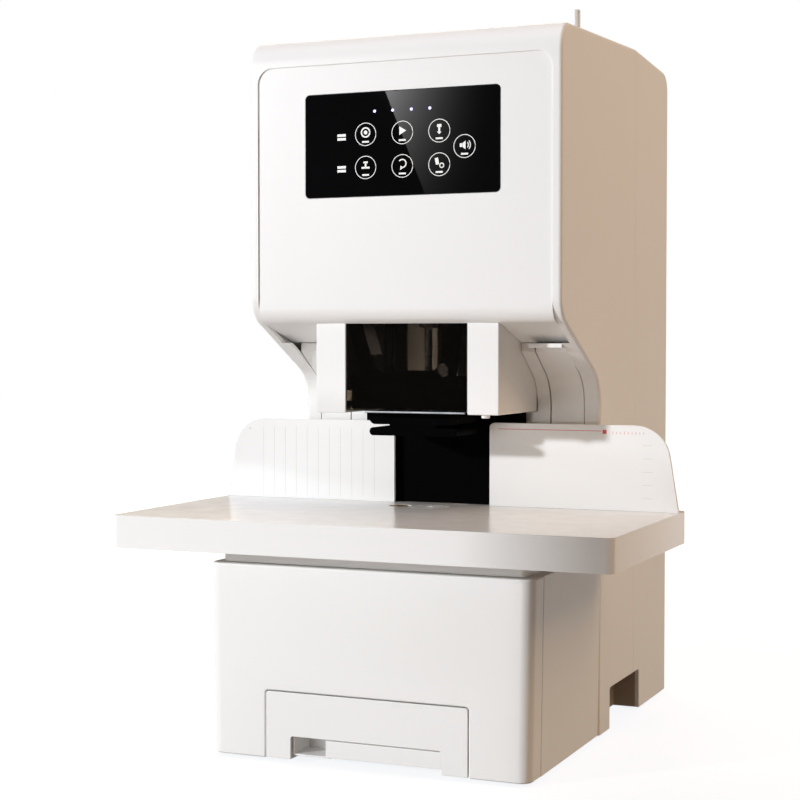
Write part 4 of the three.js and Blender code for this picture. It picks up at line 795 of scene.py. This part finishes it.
def thick_sheet(outer, inner):
    """Closes two sheets of the same grid along their four sides."""
    rows, columns = outer.shape[:2]
    size = rows * columns
    faces = grid_faces(rows, columns)
    faces += [[i + size for i in face[::-1]] for face in grid_faces(rows, columns)]
    index = np.arange(size).reshape(rows, columns)
    rim = np.concatenate([index[0, :-1], index[:-1, -1], index[-1, :0:-1], index[:0:-1, 0]])
    after = np.roll(rim, -1)
    faces += np.stack([rim, after, after + size, rim + size], -1).tolist()
    return np.concatenate([outer.reshape(-1, 3), inner.reshape(-1, 3)]), faces


def along_profile(profile, depth):
    """The profile moved by a depth to its right, square to the line."""
    step = np.gradient(profile, axis=0)
    step /= np.linalg.norm(step, axis=1)[:, None]
    return profile + np.stack([step[:, 1], -step[:, 0]], -1) * depth


print("sheet helpers ready")


# %% [markdown]
# The profile starts with the two top corners, where the width follows a quarter circle. Then it runs down,
# round the bend and back. A pocket takes the glass, and a hole in the underside takes the neck.

# %% Front panel
_, panel_y, panel_z = node_spans("head_front_panel")
panel_half = opening_half - gap
panel_corner = 11.7
corner_angle = np.linspace(0, math.pi / 2, 9)[:-1]
panel_top = opening_top - gap
corner_z = panel_top - panel_corner * (1 - np.cos(corner_angle))
corner_path = np.stack([np.full(len(corner_z), panel_y[0]), corner_z], -1)
low_bend = outline([(panel_y[0], panel_top - panel_corner), (panel_y[0], 324.0, 12.0), (-42.3, panel_z[0])],
                   closed=False, steps=12)
panel_path = np.concatenate([corner_path, low_bend])
panel_widths = np.full(len(panel_path), panel_half)
panel_widths[:len(corner_z)] = panel_half - panel_corner * (1 - np.sin(corner_angle))
panel_back = along_profile(panel_path, -wall)
panel_shape = thick_sheet(profile_sheet(panel_path, panel_widths), profile_sheet(panel_back, panel_widths))

glass_x, glass_y, glass_z = node_spans("control_glass")
glass_radius, neck_top = 3.5, 345
glass_pocket = prism(rectangle(wider(glass_x, gap), wider(glass_z, gap), glass_radius + gap), "y",
                     about(panel_y[0], 2 * reach))
neck_x, neck_y, _ = node_spans("neck_housing")
neck_top_hole = block(wider(neck_x, gap), (neck_y[0] - gap, reach), (280, neck_top))
make_piece("front_panel", panel_shape, "white_shell", stands_for=["head_front_panel"],
           cut=[glass_pocket, neck_top_hole], edge=0.7)


# %% [markdown]
# From 36 mm under its top downwards, the panel's two edges turn back as flanges inside the gap, and above
# that a seal fills the gap behind the rounded corners. Both keep light from showing through the seam.

# %% Flanges and seal of the panel
flange_top = 480
low_part = panel_path[:, 1] < flange_top
flange_start, flange_end = (along_profile(panel_path, -depth)[low_part] for depth in (0.9, 11.0))
flange_widths = np.full(len(flange_start), gap / 2 + 0.15)
flange_shape = thick_sheet(*[profile_sheet(line, flange_widths, 2) for line in (flange_start, flange_end)])
for side, sign in (("left", -1), ("right", 1)):
    moved = flange_shape[0] + (sign * (panel_half + gap / 2), 0, 0)
    make_piece(f"panel_flange_{side}", (moved, flange_shape[1]), "white_shell")


def arch(half, low, top, radius):
    """An upright arch round the middle, with rounded upper corners."""
    return both_halves([(-half, low), (-half, top, radius)])


seal_line = arch(opening_half + 0.2, flange_top - 10, opening_top + 0.2, rim_corner)
seal_room = arch(panel_half - 0.2, flange_top - 20, panel_top - 0.2, panel_corner)
make_piece("panel_seal", prism(seal_line, "y", (front_y + 0.9, front_y + 6)), "white_shell",
           cut=[prism(seal_room, "y", (front_y - reach, front_y + reach))])


# %% [markdown]
# ## Column covers
#
# Between the head and the table the column is dressed with a wide cover and two side strips that curve the
# same way: from the head's underside they come back and down, and then straight to the table. The dark
# seams between them are real gaps.

# %% Column covers
cover_half, _, lip_top = column_high
lip_y, strip_foot = -42.0, 179.7
cover_path = outline([(lip_y, lip_top), (lip_y, 300.0, 0.8), (column_y, 274.0, 30.0), (column_y, strip_foot)],
                     closed=False, steps=16)
back_path = outline([(lip_y + strip_wall, lip_top), (lip_y + strip_wall, 301.3),
                     (column_y + strip_wall, 275.3, 30.0 + strip_wall), (column_y + strip_wall, strip_foot)],
                    closed=False, steps=16)


def column_strip(x):
    """A strip of the column's cover between two places across."""
    return prism(np.concatenate([cover_path, back_path[::-1]]), "x", x)


neck_half = neck_x[1]
neck_window = block(about(0, 2 * (neck_half + gap)), (-80, reach), (253.2, neck_top))
seam = 0.3                            # taken off each long edge, so that the seams read as in the photograph
make_piece("column_front", column_strip((-cover_half + seam, cover_half - seam)), "white_shell",
           stands_for=["column_cover"], cut=[neck_window], edge=0.5)
for side in ("left", "right"):
    strip_x = np.array(node_spans(f"column_trim_{side}")[0]) + (seam, -seam)
    make_piece(f"column_strip_{side}", column_strip(strip_x), "white_shell",
               stands_for=[f"column_trim_{side}"], edge=0.5)
make_piece("column_tab", block(strip_x, (-60.0, lip_y + 0.2), (303.1, 306.4)), "white_shell", edge=0.5)


# %% [markdown]
# ## Touch panel
#
# The glass is one flat plate with a small bright edge. Its keys are printed from behind and lit. Each print
# is a thin mesh on the glass: rings for the keys, plain signs inside, short bars for the small captions,
# and four round indicator lights along the top.

# %% Touch panel glass
face_y = glass_y[0]
print_rise = 0.05


def flat_print(*planes, face=face_y):
    """Outlines (x, z) as thin plates on a face, which is the glass if no other is given."""
    return together(*[prism(np.asarray(plane, float), "y", about(face, 2 * print_rise)) for plane in planes])


def disc(centre, radius, steps=28):
    """A round outline."""
    return arc_points(np.array(centre, float), np.array((radius, 0.0)), 2 * math.pi, steps)[:-1]


def ring_shape(centre, radius, width, start=0.0, sweep=2 * math.pi, steps=48):
    """A ring, or a part of one, as a thin plate: the angle runs along it, and the width across."""
    angle = start + np.linspace(0, sweep, steps + 1)
    reach_out = np.array((radius - width / 2, radius + width / 2))
    deep = np.array((face_y - print_rise, face_y + print_rise))
    across = np.array([(0, 0), (1, 0), (1, 1), (0, 1)])
    r, y = reach_out[across[:, 0]], deep[across[:, 1]]
    x = centre[0] + np.cos(angle)[:, None] * r
    z = centre[1] + np.sin(angle)[:, None] * r
    return tube_shape(np.stack([x, np.broadcast_to(y, x.shape), z], -1))


def bar(centre, width, height, tilt=0.0):
    """A rectangle round its centre, tilted by an angle."""
    corners = rectangle(about(0, width), about(0, height))
    turn = np.array([[math.cos(tilt), -math.sin(tilt)], [math.sin(tilt), math.cos(tilt)]])
    return corners @ turn.T + centre


make_piece("touch_glass", prism(rectangle(glass_x, glass_z, glass_radius), "y", glass_y), "black_glass",
           stands_for=["control_glass"], edge=0.25, segments=2)


# %% [markdown]
# Each key is a ring with a sign in it and a short bar under it. The signs are put together from bars, discs,
# arcs and triangles round the middle of their key.

# %% Keys and lights
key_radius, key_line = 8.4, 0.5
key_low, key_high, key_middle = 438.1, 462.8, 450.6
key_columns = (-28.5, 1.35, 30.9)
key_places = [(x, z) for z in (key_high, key_low) for x in key_columns] + [(50.8, key_middle)]
rings = [ring_shape(place, key_radius, key_line) for place in key_places]
captions = [flat_print(bar((x, z - 5.6), 5.6, 1.3)) for x, z in key_places]


def key_signs():
    """The sign inside each key: press, play, drill bit, clamp, feed, bit change and sound."""
    start, play, bit = [np.array(key_places[i]) + (0, 1.4) for i in range(3)]
    clamp, feed, swap = [np.array(key_places[i]) + (0, 1.4) for i in range(3, 6)]
    sound = np.array(key_places[6]) + (0, 0.8)
    return [
        ring_shape(start, 3.4, 1.1, steps=32), flat_print(disc(start, 1.5)),
        flat_print(play + [(-2.4, -3.2), (3.2, 0), (-2.4, 3.2)]),
        flat_print(bar(bit + (0, 2.3), 3.4, 2.2), bar(bit + (0, -0.5), 1.5, 3.8),
                   bit + [(-1.8, -2.2), (0, -4.0), (1.8, -2.2)]),
        flat_print(bar(clamp + (0, 2.4), 3.6, 1.3), bar(clamp, 1.3, 4.4), bar(clamp + (0, -1.6), 6.6, 1.4)),
        ring_shape(feed + (0, 0.4), 3.0, 0.9, -1.9, 4.4, 24),
        flat_print(feed + [(-1.6, -4.4), (1.0, -2.6), (-1.4, -1.2)]),
        flat_print(bar(swap + (-1.8, 1.0), 2.6, 5.0, 0.2)), ring_shape(swap + (2.0, -2.2), 1.6, 0.8, steps=20),
        flat_print(bar(sound + (-2.8, 0), 1.8, 2.6),
                   sound + [(-1.6, -1.3), (0.8, -3.2), (0.8, 3.2), (-1.6, 1.3)]),
        ring_shape(sound, 3.0, 0.7, -0.7, 1.4, 10), ring_shape(sound, 4.6, 0.7, -0.7, 1.4, 12)]


double_bars = [flat_print(bar((-48.3, z + up), 7.0, 1.9)) for z in (461.4, 437.5) for up in (1.4, -1.4)]
make_piece("key_print", together(*rings, *captions, *key_signs(), *double_bars), "white_shell",
           material=white_ink)
light_row = [flat_print(disc((x, 479.7), 1.15, 16)) for x in (-21.1, -6.4, 8.6, 23.4)]
make_piece("indicator_lights", together(*light_row), "white_shell", material=led_light)


# %% [markdown]
# ## Neck, shield and guard
#
# The neck is a white box that hangs under the head, open below, with a window for the smoked shield. The
# shield slides up behind the head's front for cleaning. Behind it a black U-shaped frame keeps fingers
# away from the drill.

# %% Neck housing
neck_z = node_spans("neck_housing")[2]
neck_floor, neck_wall, window_half = 253.5, 2.5, 49.5
neck_outer = block(neck_x, neck_y, (neck_floor, neck_z[1]))
inner_width = about(0, 2 * (neck_half - neck_wall))
over_floor = (neck_floor + neck_wall, neck_z[1] + reach)
neck_inside = block(inner_width, (neck_y[0] + neck_wall + 5.7, neck_y[1] + reach), over_floor)
neck_front_inside = block(inner_width, (neck_y[0] + neck_wall, neck_y[0] + reach), over_floor)
neck_opening = block(about(0, 2 * window_half), (neck_y[0] - reach, neck_y[1] - 9),
                     (neck_floor - reach, neck_z[1] + reach))
make_piece("neck_box", neck_outer, "white_shell", stands_for=["neck_housing"],
           cut=[neck_inside, neck_front_inside, neck_opening], edge=0.8)
peg = turned([(0, 250.9), (2.6, 250.9), (3.2, 251.5), (3.2, 254.0), (0, 254.0)], (62.0, -86.2), sides=32)
make_piece("neck_peg", peg, "white_shell")


# %% [markdown]
# The shield is a flat plate with rounded corners, and a thin metal strip along its foot is its grip.

# %% Shield
shield_x, shield_y, shield_z = node_spans("safety_shield")
shield_foot = shield_z[0] + 1.5
shield_line = rectangle(shield_x, (shield_foot, shield_z[1]), 1.5)
make_piece("shield_plate", prism(shield_line, "y", shield_y), "smoked_shield", "shield", ["safety_shield"],
           edge=0.3)
grip_line = rectangle(shield_y, (shield_z[0], shield_foot), 0.6)
make_piece("shield_grip", prism(grip_line, "x", (-34, shield_x[1] - 2)), "zinc_sheet", "shield", edge=0.3)
print("shield on", shield_y)


# %% [markdown]
# The guard is a black U whose arms lean outwards. An apron below it and a cheek along each side close the way
# to the drill. A zinc strip lines the left arm, and a hexagon screw holds the right one.

# %% Guard frame
_, guard_y, guard_z = node_spans("guard_frame")
guard_half, guard_shoulder = 71.5, 322
guard_outer = outline([(-50, guard_shoulder), (-39, 278, 9), (36, 278, 9), (43, guard_shoulder),
                       (guard_half, guard_shoulder), (guard_half, neck_top), (-guard_half, neck_top),
                       (-guard_half, guard_shoulder)])
guard_window = outline([(-38.4, guard_shoulder), (-28, 286, 9), (25, 286, 9), (31.7, guard_shoulder)])
apron = block(shield_x, (guard_y[1] - 1.6, guard_y[1]), (guard_z[0], 282))
cheek = block((70.2, 71.4), (guard_y[1] - 3, neck_y[1] - 1), (neck_floor + neck_wall + 0.6, neck_top))
make_piece("guard_bar", prism(guard_outer, "y", guard_y), "black_plastic", stands_for=["guard_frame"],
           add=[apron, mirrored(cheek), cheek], cut=[prism(guard_window, "y", (-120, -60))], edge=1.0)

liner = np.array([(0, guard_y[0] + 0.5), (6.7, guard_y[1] - 0.3), (6.7, guard_y[1]), (0, guard_y[0] + 1.2)])
liner_rings = [lift_to(liner + (x, 0), "z", z) for x, z in ((-31.1, 298), (-38.35, guard_shoulder))]
make_piece("guard_liner", tube_shape(np.stack(liner_rings)), "zinc_sheet")

screw_place = (28.8, 286.4)
hexagon = disc((0, 0), 5.6, 6) * (0.75, 1.0) @ np.array([[0.94, 0.34], [-0.34, 0.94]])
screw_head = prism(hexagon + screw_place, "y", (guard_y[0] - 2.2, guard_y[0]))
screw_hole = prism(disc(screw_place, 2.6), "y", (guard_y[0] - 5, guard_y[0] - 0.8))
make_piece("guard_screw", screw_head, "bright_steel", cut=[screw_hole], edge=0.5)


# %% [markdown]
# ## Presser foot
#
# The presser holds the paper flat. It is a black block with a flange above and a rounded plate below, and
# a narrow slot between them at each end. Two rods carry it. The drill and the rivet punch go down through its
# holes: they are plain turned pieces, so they keep their CAD meshes.

# %% Presser foot
foot_x, foot_y, foot_z = node_spans("presser_foot")
plate_top, slot_top, core_half = foot_z[0] + 6.2, foot_z[0] + 8.6, 20.5
foot_plate = prism(rectangle(foot_x, (foot_z[0], plate_top), 3.0), "y", foot_y)
foot_core = prism(rectangle(about(0, 2 * core_half), wider(foot_y, -0.5), 3.0), "z",
                  (plate_top - 1, slot_top + 1))
flange_line = outline([(foot_x[0], slot_top, 4.8), (foot_x[1], slot_top, 4.8), (foot_x[1], foot_z[1], 1.0),
                       (foot_x[0], foot_z[1], 1.0)])
drill_x, drill_y, punch_x = 0.0, -45.5, -24.0
foot_holes = [cylinder((x, drill_y), radius, (200, 300)) for x, radius in ((drill_x, 4.0), (punch_x, 7.0))]
make_piece("presser_block", prism(flange_line, "y", foot_y), "black_plastic", "presser", ["presser_foot"],
           add=[foot_core, foot_plate], cut=foot_holes, edge=0.8)
for side, x in (("left", -22.0), ("right", 22.0)):
    rod = turned([(0, 253.2), (3.6, 253.2), (4.0, 253.6), (4.0, 335.0), (5.6, 335.3), (5.6, 339.4),
                  (5.0, 340.0), (2.6, 340.0), (2.6, 337.5), (0, 337.5)], (x, -71.0), sides=40)
    make_piece(f"presser_pin_{side}", rod, "dark_steel", "presser", [f"presser_rod_{side}"])


# %% [markdown]
# ## Back gauge
#
# Two white plates with printed rules stand on the table behind the paper, joined by a black bridge round the
# drill's throat. Their outer ends lean, and each upper corner is one large curve.

# %% Gauge plates
gauge_x, gauge_y, gauge_z = node_spans("gauge_plate_right")
table_top = table_z[1]
plate_thick = 3.0
plate_face = gauge_y[0]


def gauge_plate():
    """The right plate: a flat front with one large curve at its upper outer corner."""
    foot = gauge_z[0] - 0.22          # the visual plate sits closer to the table than the solid does
    edge = outline([(gauge_x[0], foot), (gauge_x[1], foot), (180.3, gauge_z[1], 27.0),
                    (gauge_x[0], gauge_z[1], 4.0)], steps=16)
    return prism(edge, "y", (plate_face, plate_face + plate_thick))


foot_bar = block((gauge_x[0] + 4, gauge_x[1] - 6), (plate_face + 1, gauge_y[1]), (gauge_z[0], gauge_z[0] + 3))
for side, turn_over in RIGHT_AND_LEFT:
    make_piece(f"gauge_fence_{side}", turn_over(gauge_plate()), "white_shell", "gauge",
               [f"gauge_plate_{side}"], edge=0.7, add=[turn_over(foot_bar)])


# %% [markdown]
# The left plate has upright lines 10 mm apart, and the right one short lines for the height of the paper and
# a red line that marks the limit. They are screen prints, so they are thin plates on the gauge's face.

# %% Gauge prints
def gauge_print(name, planes, ink):
    """Outlines (x, z) printed on the gauge."""
    make_piece(name, flat_print(*planes, face=plate_face), "white_shell", "gauge", material=ink)


rule_middle, rule_height, rule_step = 210.0, 56.0, 10.0
left_rule = [bar((-58.0 - rule_step * i, rule_middle), 0.3, rule_height) for i in range(11)]
left_rule.append(disc((-170.5, 236.0), 0.9, 16))
right_ticks = [bar((167.0, table_top + rule_step * (i + 1)), 8.0, 0.35) for i in range(5)]
gauge_print("rule_print", left_rule + right_ticks, grey_ink)
gauge_print("red_limit_print", [bar((89.3, 239.8), 83.4, 0.4), bar((133.5, 239.2), 3.0, 3.0)], red_ink)
red_marks = [bar((140.0 + 3.0 * i, 238.6), 0.5, 1.6 + 0.8 * (i % 3 == 0)) for i in range(9)]
gauge_print("limit_scale_print", red_marks, pale_red_ink)


# %% [markdown]
# ## Worktable
#
# The table is a broad shallow tray turned upside down: a plate with a rim, three ribs, and soft edges that
# the polished tool gives.

# %% Worktable
rim_wall, top_plate = 3.0, 3.6
slab = prism(rectangle(table_x, table_y, 6.0, steps=6), "z", table_z)
rib_low, rib_thick = 161.8, 3.0
hollow_top = table_z[1] - top_plate
hollow = prism(rectangle(wider(table_x, -rim_wall), wider(table_y, -rim_wall), 3.0), "z",
               (table_z[0] - reach, hollow_top))
ribs = [block(wider(table_x, -1), about(y, rib_thick), (rib_low, hollow_top + 1))
        for y in (-148.0, -98.5, -49.0)]
boss = cylinder((drill_x, drill_y), 24.0, (160, hollow_top + 1))
pad_pocket = cylinder((drill_x, drill_y), 16.3, (176, 190))
through_holes = [cylinder((x, drill_y), radius, (150, 190)) for x, radius in ((drill_x, 12.0), (punch_x, 8.7))]
table = bare_object("work_surface", slab)
combine(table, [hollow])
combine(table, [*ribs, boss], "UNION")
combine(table, [pad_pocket, *through_holes])
finish_piece(table, "white_table", stands_for=["worktable"], edge=2.0, segments=4)


# %% [markdown]
# ## Base and drawer
#
# The base carries the table on a collar and narrows a little downwards, as a moulding does so that it leaves
# its tool. Its front is a separate cover whose ends wrap round the corners, and the collar steps over the
# cover's top. The chip drawer closes flush with it, and a notch in its foot takes the fingers.

# %% Base
base_half, draft, base_foot, base_top = 126.5, 0.016, 2.5, 144.5
base_room = (base_foot - reach, base_top - wall)
drawer_corner = 2.0


def drafted_prism(plane, span, steps=6):
    """An outline carried upwards in equal steps, and narrower towards the floor: x is multiplied by one less
    the draft times the share of the height that is left above."""
    points, faces = tube_shape(np.stack([lift_to(plane, "z", at) for at in np.linspace(*span, steps + 1)]))
    share = np.clip(1 - points[:, 2] / base_top, 0, 1)
    points[:, 0] *= 1 - draft * share
    return points, faces


front_y_low, front_y_high = node_spans("base_front_cover")[1]
front_outer = both_halves([(-base_half, front_y_high), (-base_half, front_y_low, 9.0)], steps=10)
front_inner = both_halves([(-base_half + wall, front_y_high + 1), (-base_half + wall, front_y_low + wall, 6.0)],
                          steps=10)
drawer_x, drawer_y, drawer_z = node_spans("drawer_front")
seam_gap = 0.6                        # round the drawer's front
hole_left, hole_right = wider(drawer_x, seam_gap)
hole_top = (drawer_z[1] + seam_gap, drawer_corner + seam_gap)
hole_line = [(hole_left, -reach), (hole_right, -reach), (hole_right, *hole_top), (hole_left, *hole_top)]
drawer_hole = prism(outline(hole_line), "y", wider((front_y_low, front_y_high), reach))
make_piece("base_cover", drafted_prism(front_outer, (base_foot, base_top)), "white_shell",
           stands_for=["base_front_cover"], cut=[drafted_prism(front_inner, base_room), drawer_hole],
           edge=1.8, segments=4)

shell_rear = node_spans("base_shell")[1][1]
shell_front, collar_half, collar_front = -142.2, 118.5, -160
collar_room_x = about(0, 2 * (collar_half - wall))
shell_outer = rectangle(about(0, 2 * base_half), (shell_front, shell_rear))
shell_inner = rectangle(about(0, 2 * (base_half - wall)), wider((shell_front, shell_rear), reach))
top_room = block(collar_room_x, (shell_front + 6, shell_rear + reach), (base_top - 2 * wall, 160))
make_piece("base_sides", drafted_prism(shell_outer, (base_foot, base_top)), "white_shell",
           stands_for=["base_shell"], cut=[drafted_prism(shell_inner, base_room), top_room], edge=0.8)
collar_outer = rectangle(about(0, 2 * collar_half), (collar_front, shell_rear), 4.0)
collar_inner = rectangle(collar_room_x, (collar_front + wall, shell_rear + reach), 2.0)
over_cover = block(about(0, 260), (-180, shell_front + gap), (140, base_top + gap))
make_piece("collar", prism(collar_outer, "z", (142.0, 155.1)), "white_shell", edge=0.8,
           cut=[prism(collar_inner, "z", (140, 160)), over_cover])


# %% [markdown]
# The drawer's front has a low notch. Its left part is a cup for the fingers, and a web closes the rest. The
# bin behind catches the chips: it steps up at the front to clear the notch.

# %% Drawer
notch_half, notch_top = 59.0, 20.0
front_plate = outline([(drawer_x[0], drawer_z[0]), (-notch_half, drawer_z[0]), (-notch_half, notch_top, 2.0),
                       (notch_half, notch_top, 2.0), (notch_half, drawer_z[0]), (drawer_x[1], drawer_z[0]),
                       (drawer_x[1], drawer_z[1], drawer_corner), (drawer_x[0], drawer_z[1], drawer_corner)])
make_piece("drawer_face", prism(front_plate, "y", drawer_y), "white_shell", "drawer", ["drawer_front"],
           edge=0.5)
bin_x, bin_y, bin_z = node_spans("drawer_bin")
bin_wall = 2.5
step_y = bin_y[0] + 60                # where the bin's floor steps down
bin_side = outline([(bin_y[0], notch_top), (step_y, notch_top, 2.0), (step_y, bin_z[0], 2.0),
                    (bin_y[1], bin_z[0], 3.0), (bin_y[1], bin_z[1]), (bin_y[0], bin_z[1])])
room_front, room_rear = wider(bin_y, -bin_wall)
bin_inside = outline([(room_front, 22.4), (step_y + bin_wall, 22.4, 2.0), (step_y + bin_wall, 6.4, 2.0),
                      (room_rear, 6.4, 2.0), (room_rear, 70), (room_front, 70)])
bin_cheek = block((notch_half, notch_half + bin_wall), (bin_y[0], step_y + 1), (drawer_z[0], 21.0))
make_piece("chip_bin", prism(bin_side, "x", bin_x), "white_shell", "drawer", ["drawer_bin"], edge=0.6,
           cut=[prism(bin_inside, "x", wider(bin_x, -bin_wall))], add=[mirrored(bin_cheek), bin_cheek])
hold_end = -31.0                      # where the cup ends and the web begins
web = block((hold_end, notch_half - 0.1), (drawer_y[0] + 0.5, drawer_y[1]), (7.0, 19.3))
make_piece("drawer_web", web, "white_shell", "drawer", edge=0.4)
cup = block((-notch_half + 0.3, hold_end + 2.0), (drawer_y[1] + 0.2, drawer_y[1] + 26), (5.6, 19.4))
cup_room = block((-notch_half + 1.8, hold_end), (drawer_y[1] - 5, drawer_y[1] + 24.5), (7.0, 25.0))
make_piece("finger_cup", cup, "white_shell", "drawer", cut=[cup_room], edge=0.3)


# %% [markdown]
# ## Rivet tube
#
# The nylon tube enters through a flared collar in the top, and its end stands a little above the machine.
# The collar is a plain turned piece, so it keeps its CAD mesh.

# %% Rivet tube
tube_z = node_spans("rivet_tube")[2]
tube = turned([(2.2, tube_z[0]), (3.2, tube_z[0]), (3.5, tube_z[0] + 0.3), (3.5, tube_z[1] - 0.3),
               (3.2, tube_z[1]), (2.4, tube_z[1]), (2.2, tube_z[1] - 0.2)], tube_middle, sides=40)
make_piece("nylon_tube", tube, "nylon", "tube", ["rivet_tube"])


# %% [markdown]
# ## Stage
#
# The machine stands on brown paper that glows in direct views, so that it reads as white and still darkens in
# the machine's shadow. What a stage object hides from, such as the camera or the light's own rays, is set ray
# by ray.

# %% Floor
def stage_object(name, shape, material, unseen=()):
    """An object of the stage, which the named kinds of ray don't see."""
    thing = bare_object(name, shape)
    thing.data.materials.append(material)
    for ray in unseen:
        setattr(thing, "visible_" + ray, False)
    return thing


def let_glow(tree, shader, strength, colour):
    """Gives a material light of its own, in one colour and with a strength that its nodes work out."""
    shader.inputs["Emission Color"].default_value = colour
    tree.links.new(strength, shader.inputs["Emission Strength"])


def meters(*lengths):
    """Lengths in metres, as the millimetres that shapes are given in."""
    return tuple(length / MM for length in lengths)


paper_sweep, paper_tree, paper_shader = new_material("brown paper sweep", "#7b6d5e", 0.9)
distance = add_node(paper_tree, "VectorMath", {0: on_object(paper_tree)}, operation="LENGTH").outputs["Value"]
evenness = run_between(paper_tree, distance, (0.6, 2.2), (0.88, 1.0))
paper_glow = worked_out(paper_tree, "MULTIPLY", seen_directly(paper_tree), evenness)
let_glow(paper_tree, paper_shader, paper_glow, (0.97, 1.0, 1.03, 1.0))
floor = stage_object("studio_floor", block(meters(-6, 6), meters(-6, 6), (-20, 0)), paper_sweep)
print("floor:", floor.name)


# %% [markdown]
# A dark flag stands where the touch panel and the shield mirror it, as a photographer puts one up against
# glare, and a pale slanted card before it draws the diagonal highlight on the glass. A dark brown card behind
# draws the fine outline of the white edges. All three work only in mirrors. The clear shield mirrors as
# transmission, so the dark flag is seen by those rays too.

# %% Flags and cards in the mirrors
only_in_mirrors = ("camera", "diffuse", "transmission", "shadow")
flag_cloth = new_material("black flag cloth", "#060606", 0.95)[0]
card_brown = new_material("dark brown card", "#2b241c", 0.95)[0]
flag_y = -2.0 / MM
flag = stage_object("dark_flag", block(meters(-3, 1.2), (flag_y - 10, flag_y), meters(-0.3, 2)), flag_cloth,
                    ("camera", "diffuse", "shadow"))
back_y_far = 3.0 / MM
stage_object("back_card", block(meters(-4, 0.3), (back_y_far, back_y_far + 10), meters(-0.3, 3)), card_brown,
             only_in_mirrors)

card_paint, card_tree, card_shader = new_material("pale card", "#202020", 0.9)
card_place = add_node(card_tree, "SeparateXYZ", {"Vector": on_object(card_tree)})
to_right = run_between(card_tree, card_place.outputs["X"], (-0.84, -0.6), (1.0, 0.0))
upwards = run_between(card_tree, card_place.outputs["Z"], (0.5, 0.79), (0.25, 1.0))
falling = worked_out(card_tree, "POWER", worked_out(card_tree, "MULTIPLY", to_right, upwards), 2.6)
let_glow(card_tree, card_shader, worked_out(card_tree, "MULTIPLY", falling, 5.2), (1.0, 1.0, 1.0, 1.0))
card_corners = np.array([(-859.9, 850), (-500, 850), (-500, 560), (-740, 560)])
card = stage_object("glare_card", prism(card_corners, "y", (flag_y + 20, flag_y + 22)), card_paint,
                    only_in_mirrors)
print("in the mirrors:", flag.name, card.name)


# %% [markdown]
# Two more stand between the key and the machine, as seen from above, and show only in their shadow. A flag
# shades the right end of the table, and a thin net takes a sixth of the key's light off the gauge, which the
# white table lights from below as well.

# %% Table flag and gauge net
shade_edge = np.array((130.0, table_y[0]))       # where the key's shadow begins on the table's front
light_way = shade_edge - np.array(key_place[:2]) / MM
light_way /= np.linalg.norm(light_way)
across_light = np.array((light_way[1], -light_way[0]))


def screen_plane(middle, left, right, thickness):
    """A thin screen seen from above, square to the key's light, from one place across it to another."""
    near, far = middle + across_light * left, middle + across_light * right
    return np.array([near, far, far - light_way * thickness, near - light_way * thickness])


flag_plane = screen_plane(shade_edge - light_way * 1200, 0, 300, 4)
table_flag = stage_object("table_flag", prism(flag_plane, "z", (300, 700)), flag_cloth, ("camera", "glossy"))
net_cloth, _, net_shader = new_material("black net", "#060606", 0.95)
net_shader.inputs["Alpha"].default_value = 0.085
net_plane = screen_plane(np.array((0.0, plate_face)) - light_way * 300, -260, 260, 1)
gauge_net = stage_object("gauge_net", prism(net_plane, "z", (250, 312)), net_cloth,
                         ("camera", "glossy", "transmission", "diffuse"))
print("in the key's light:", table_flag.name, gauge_net.name)
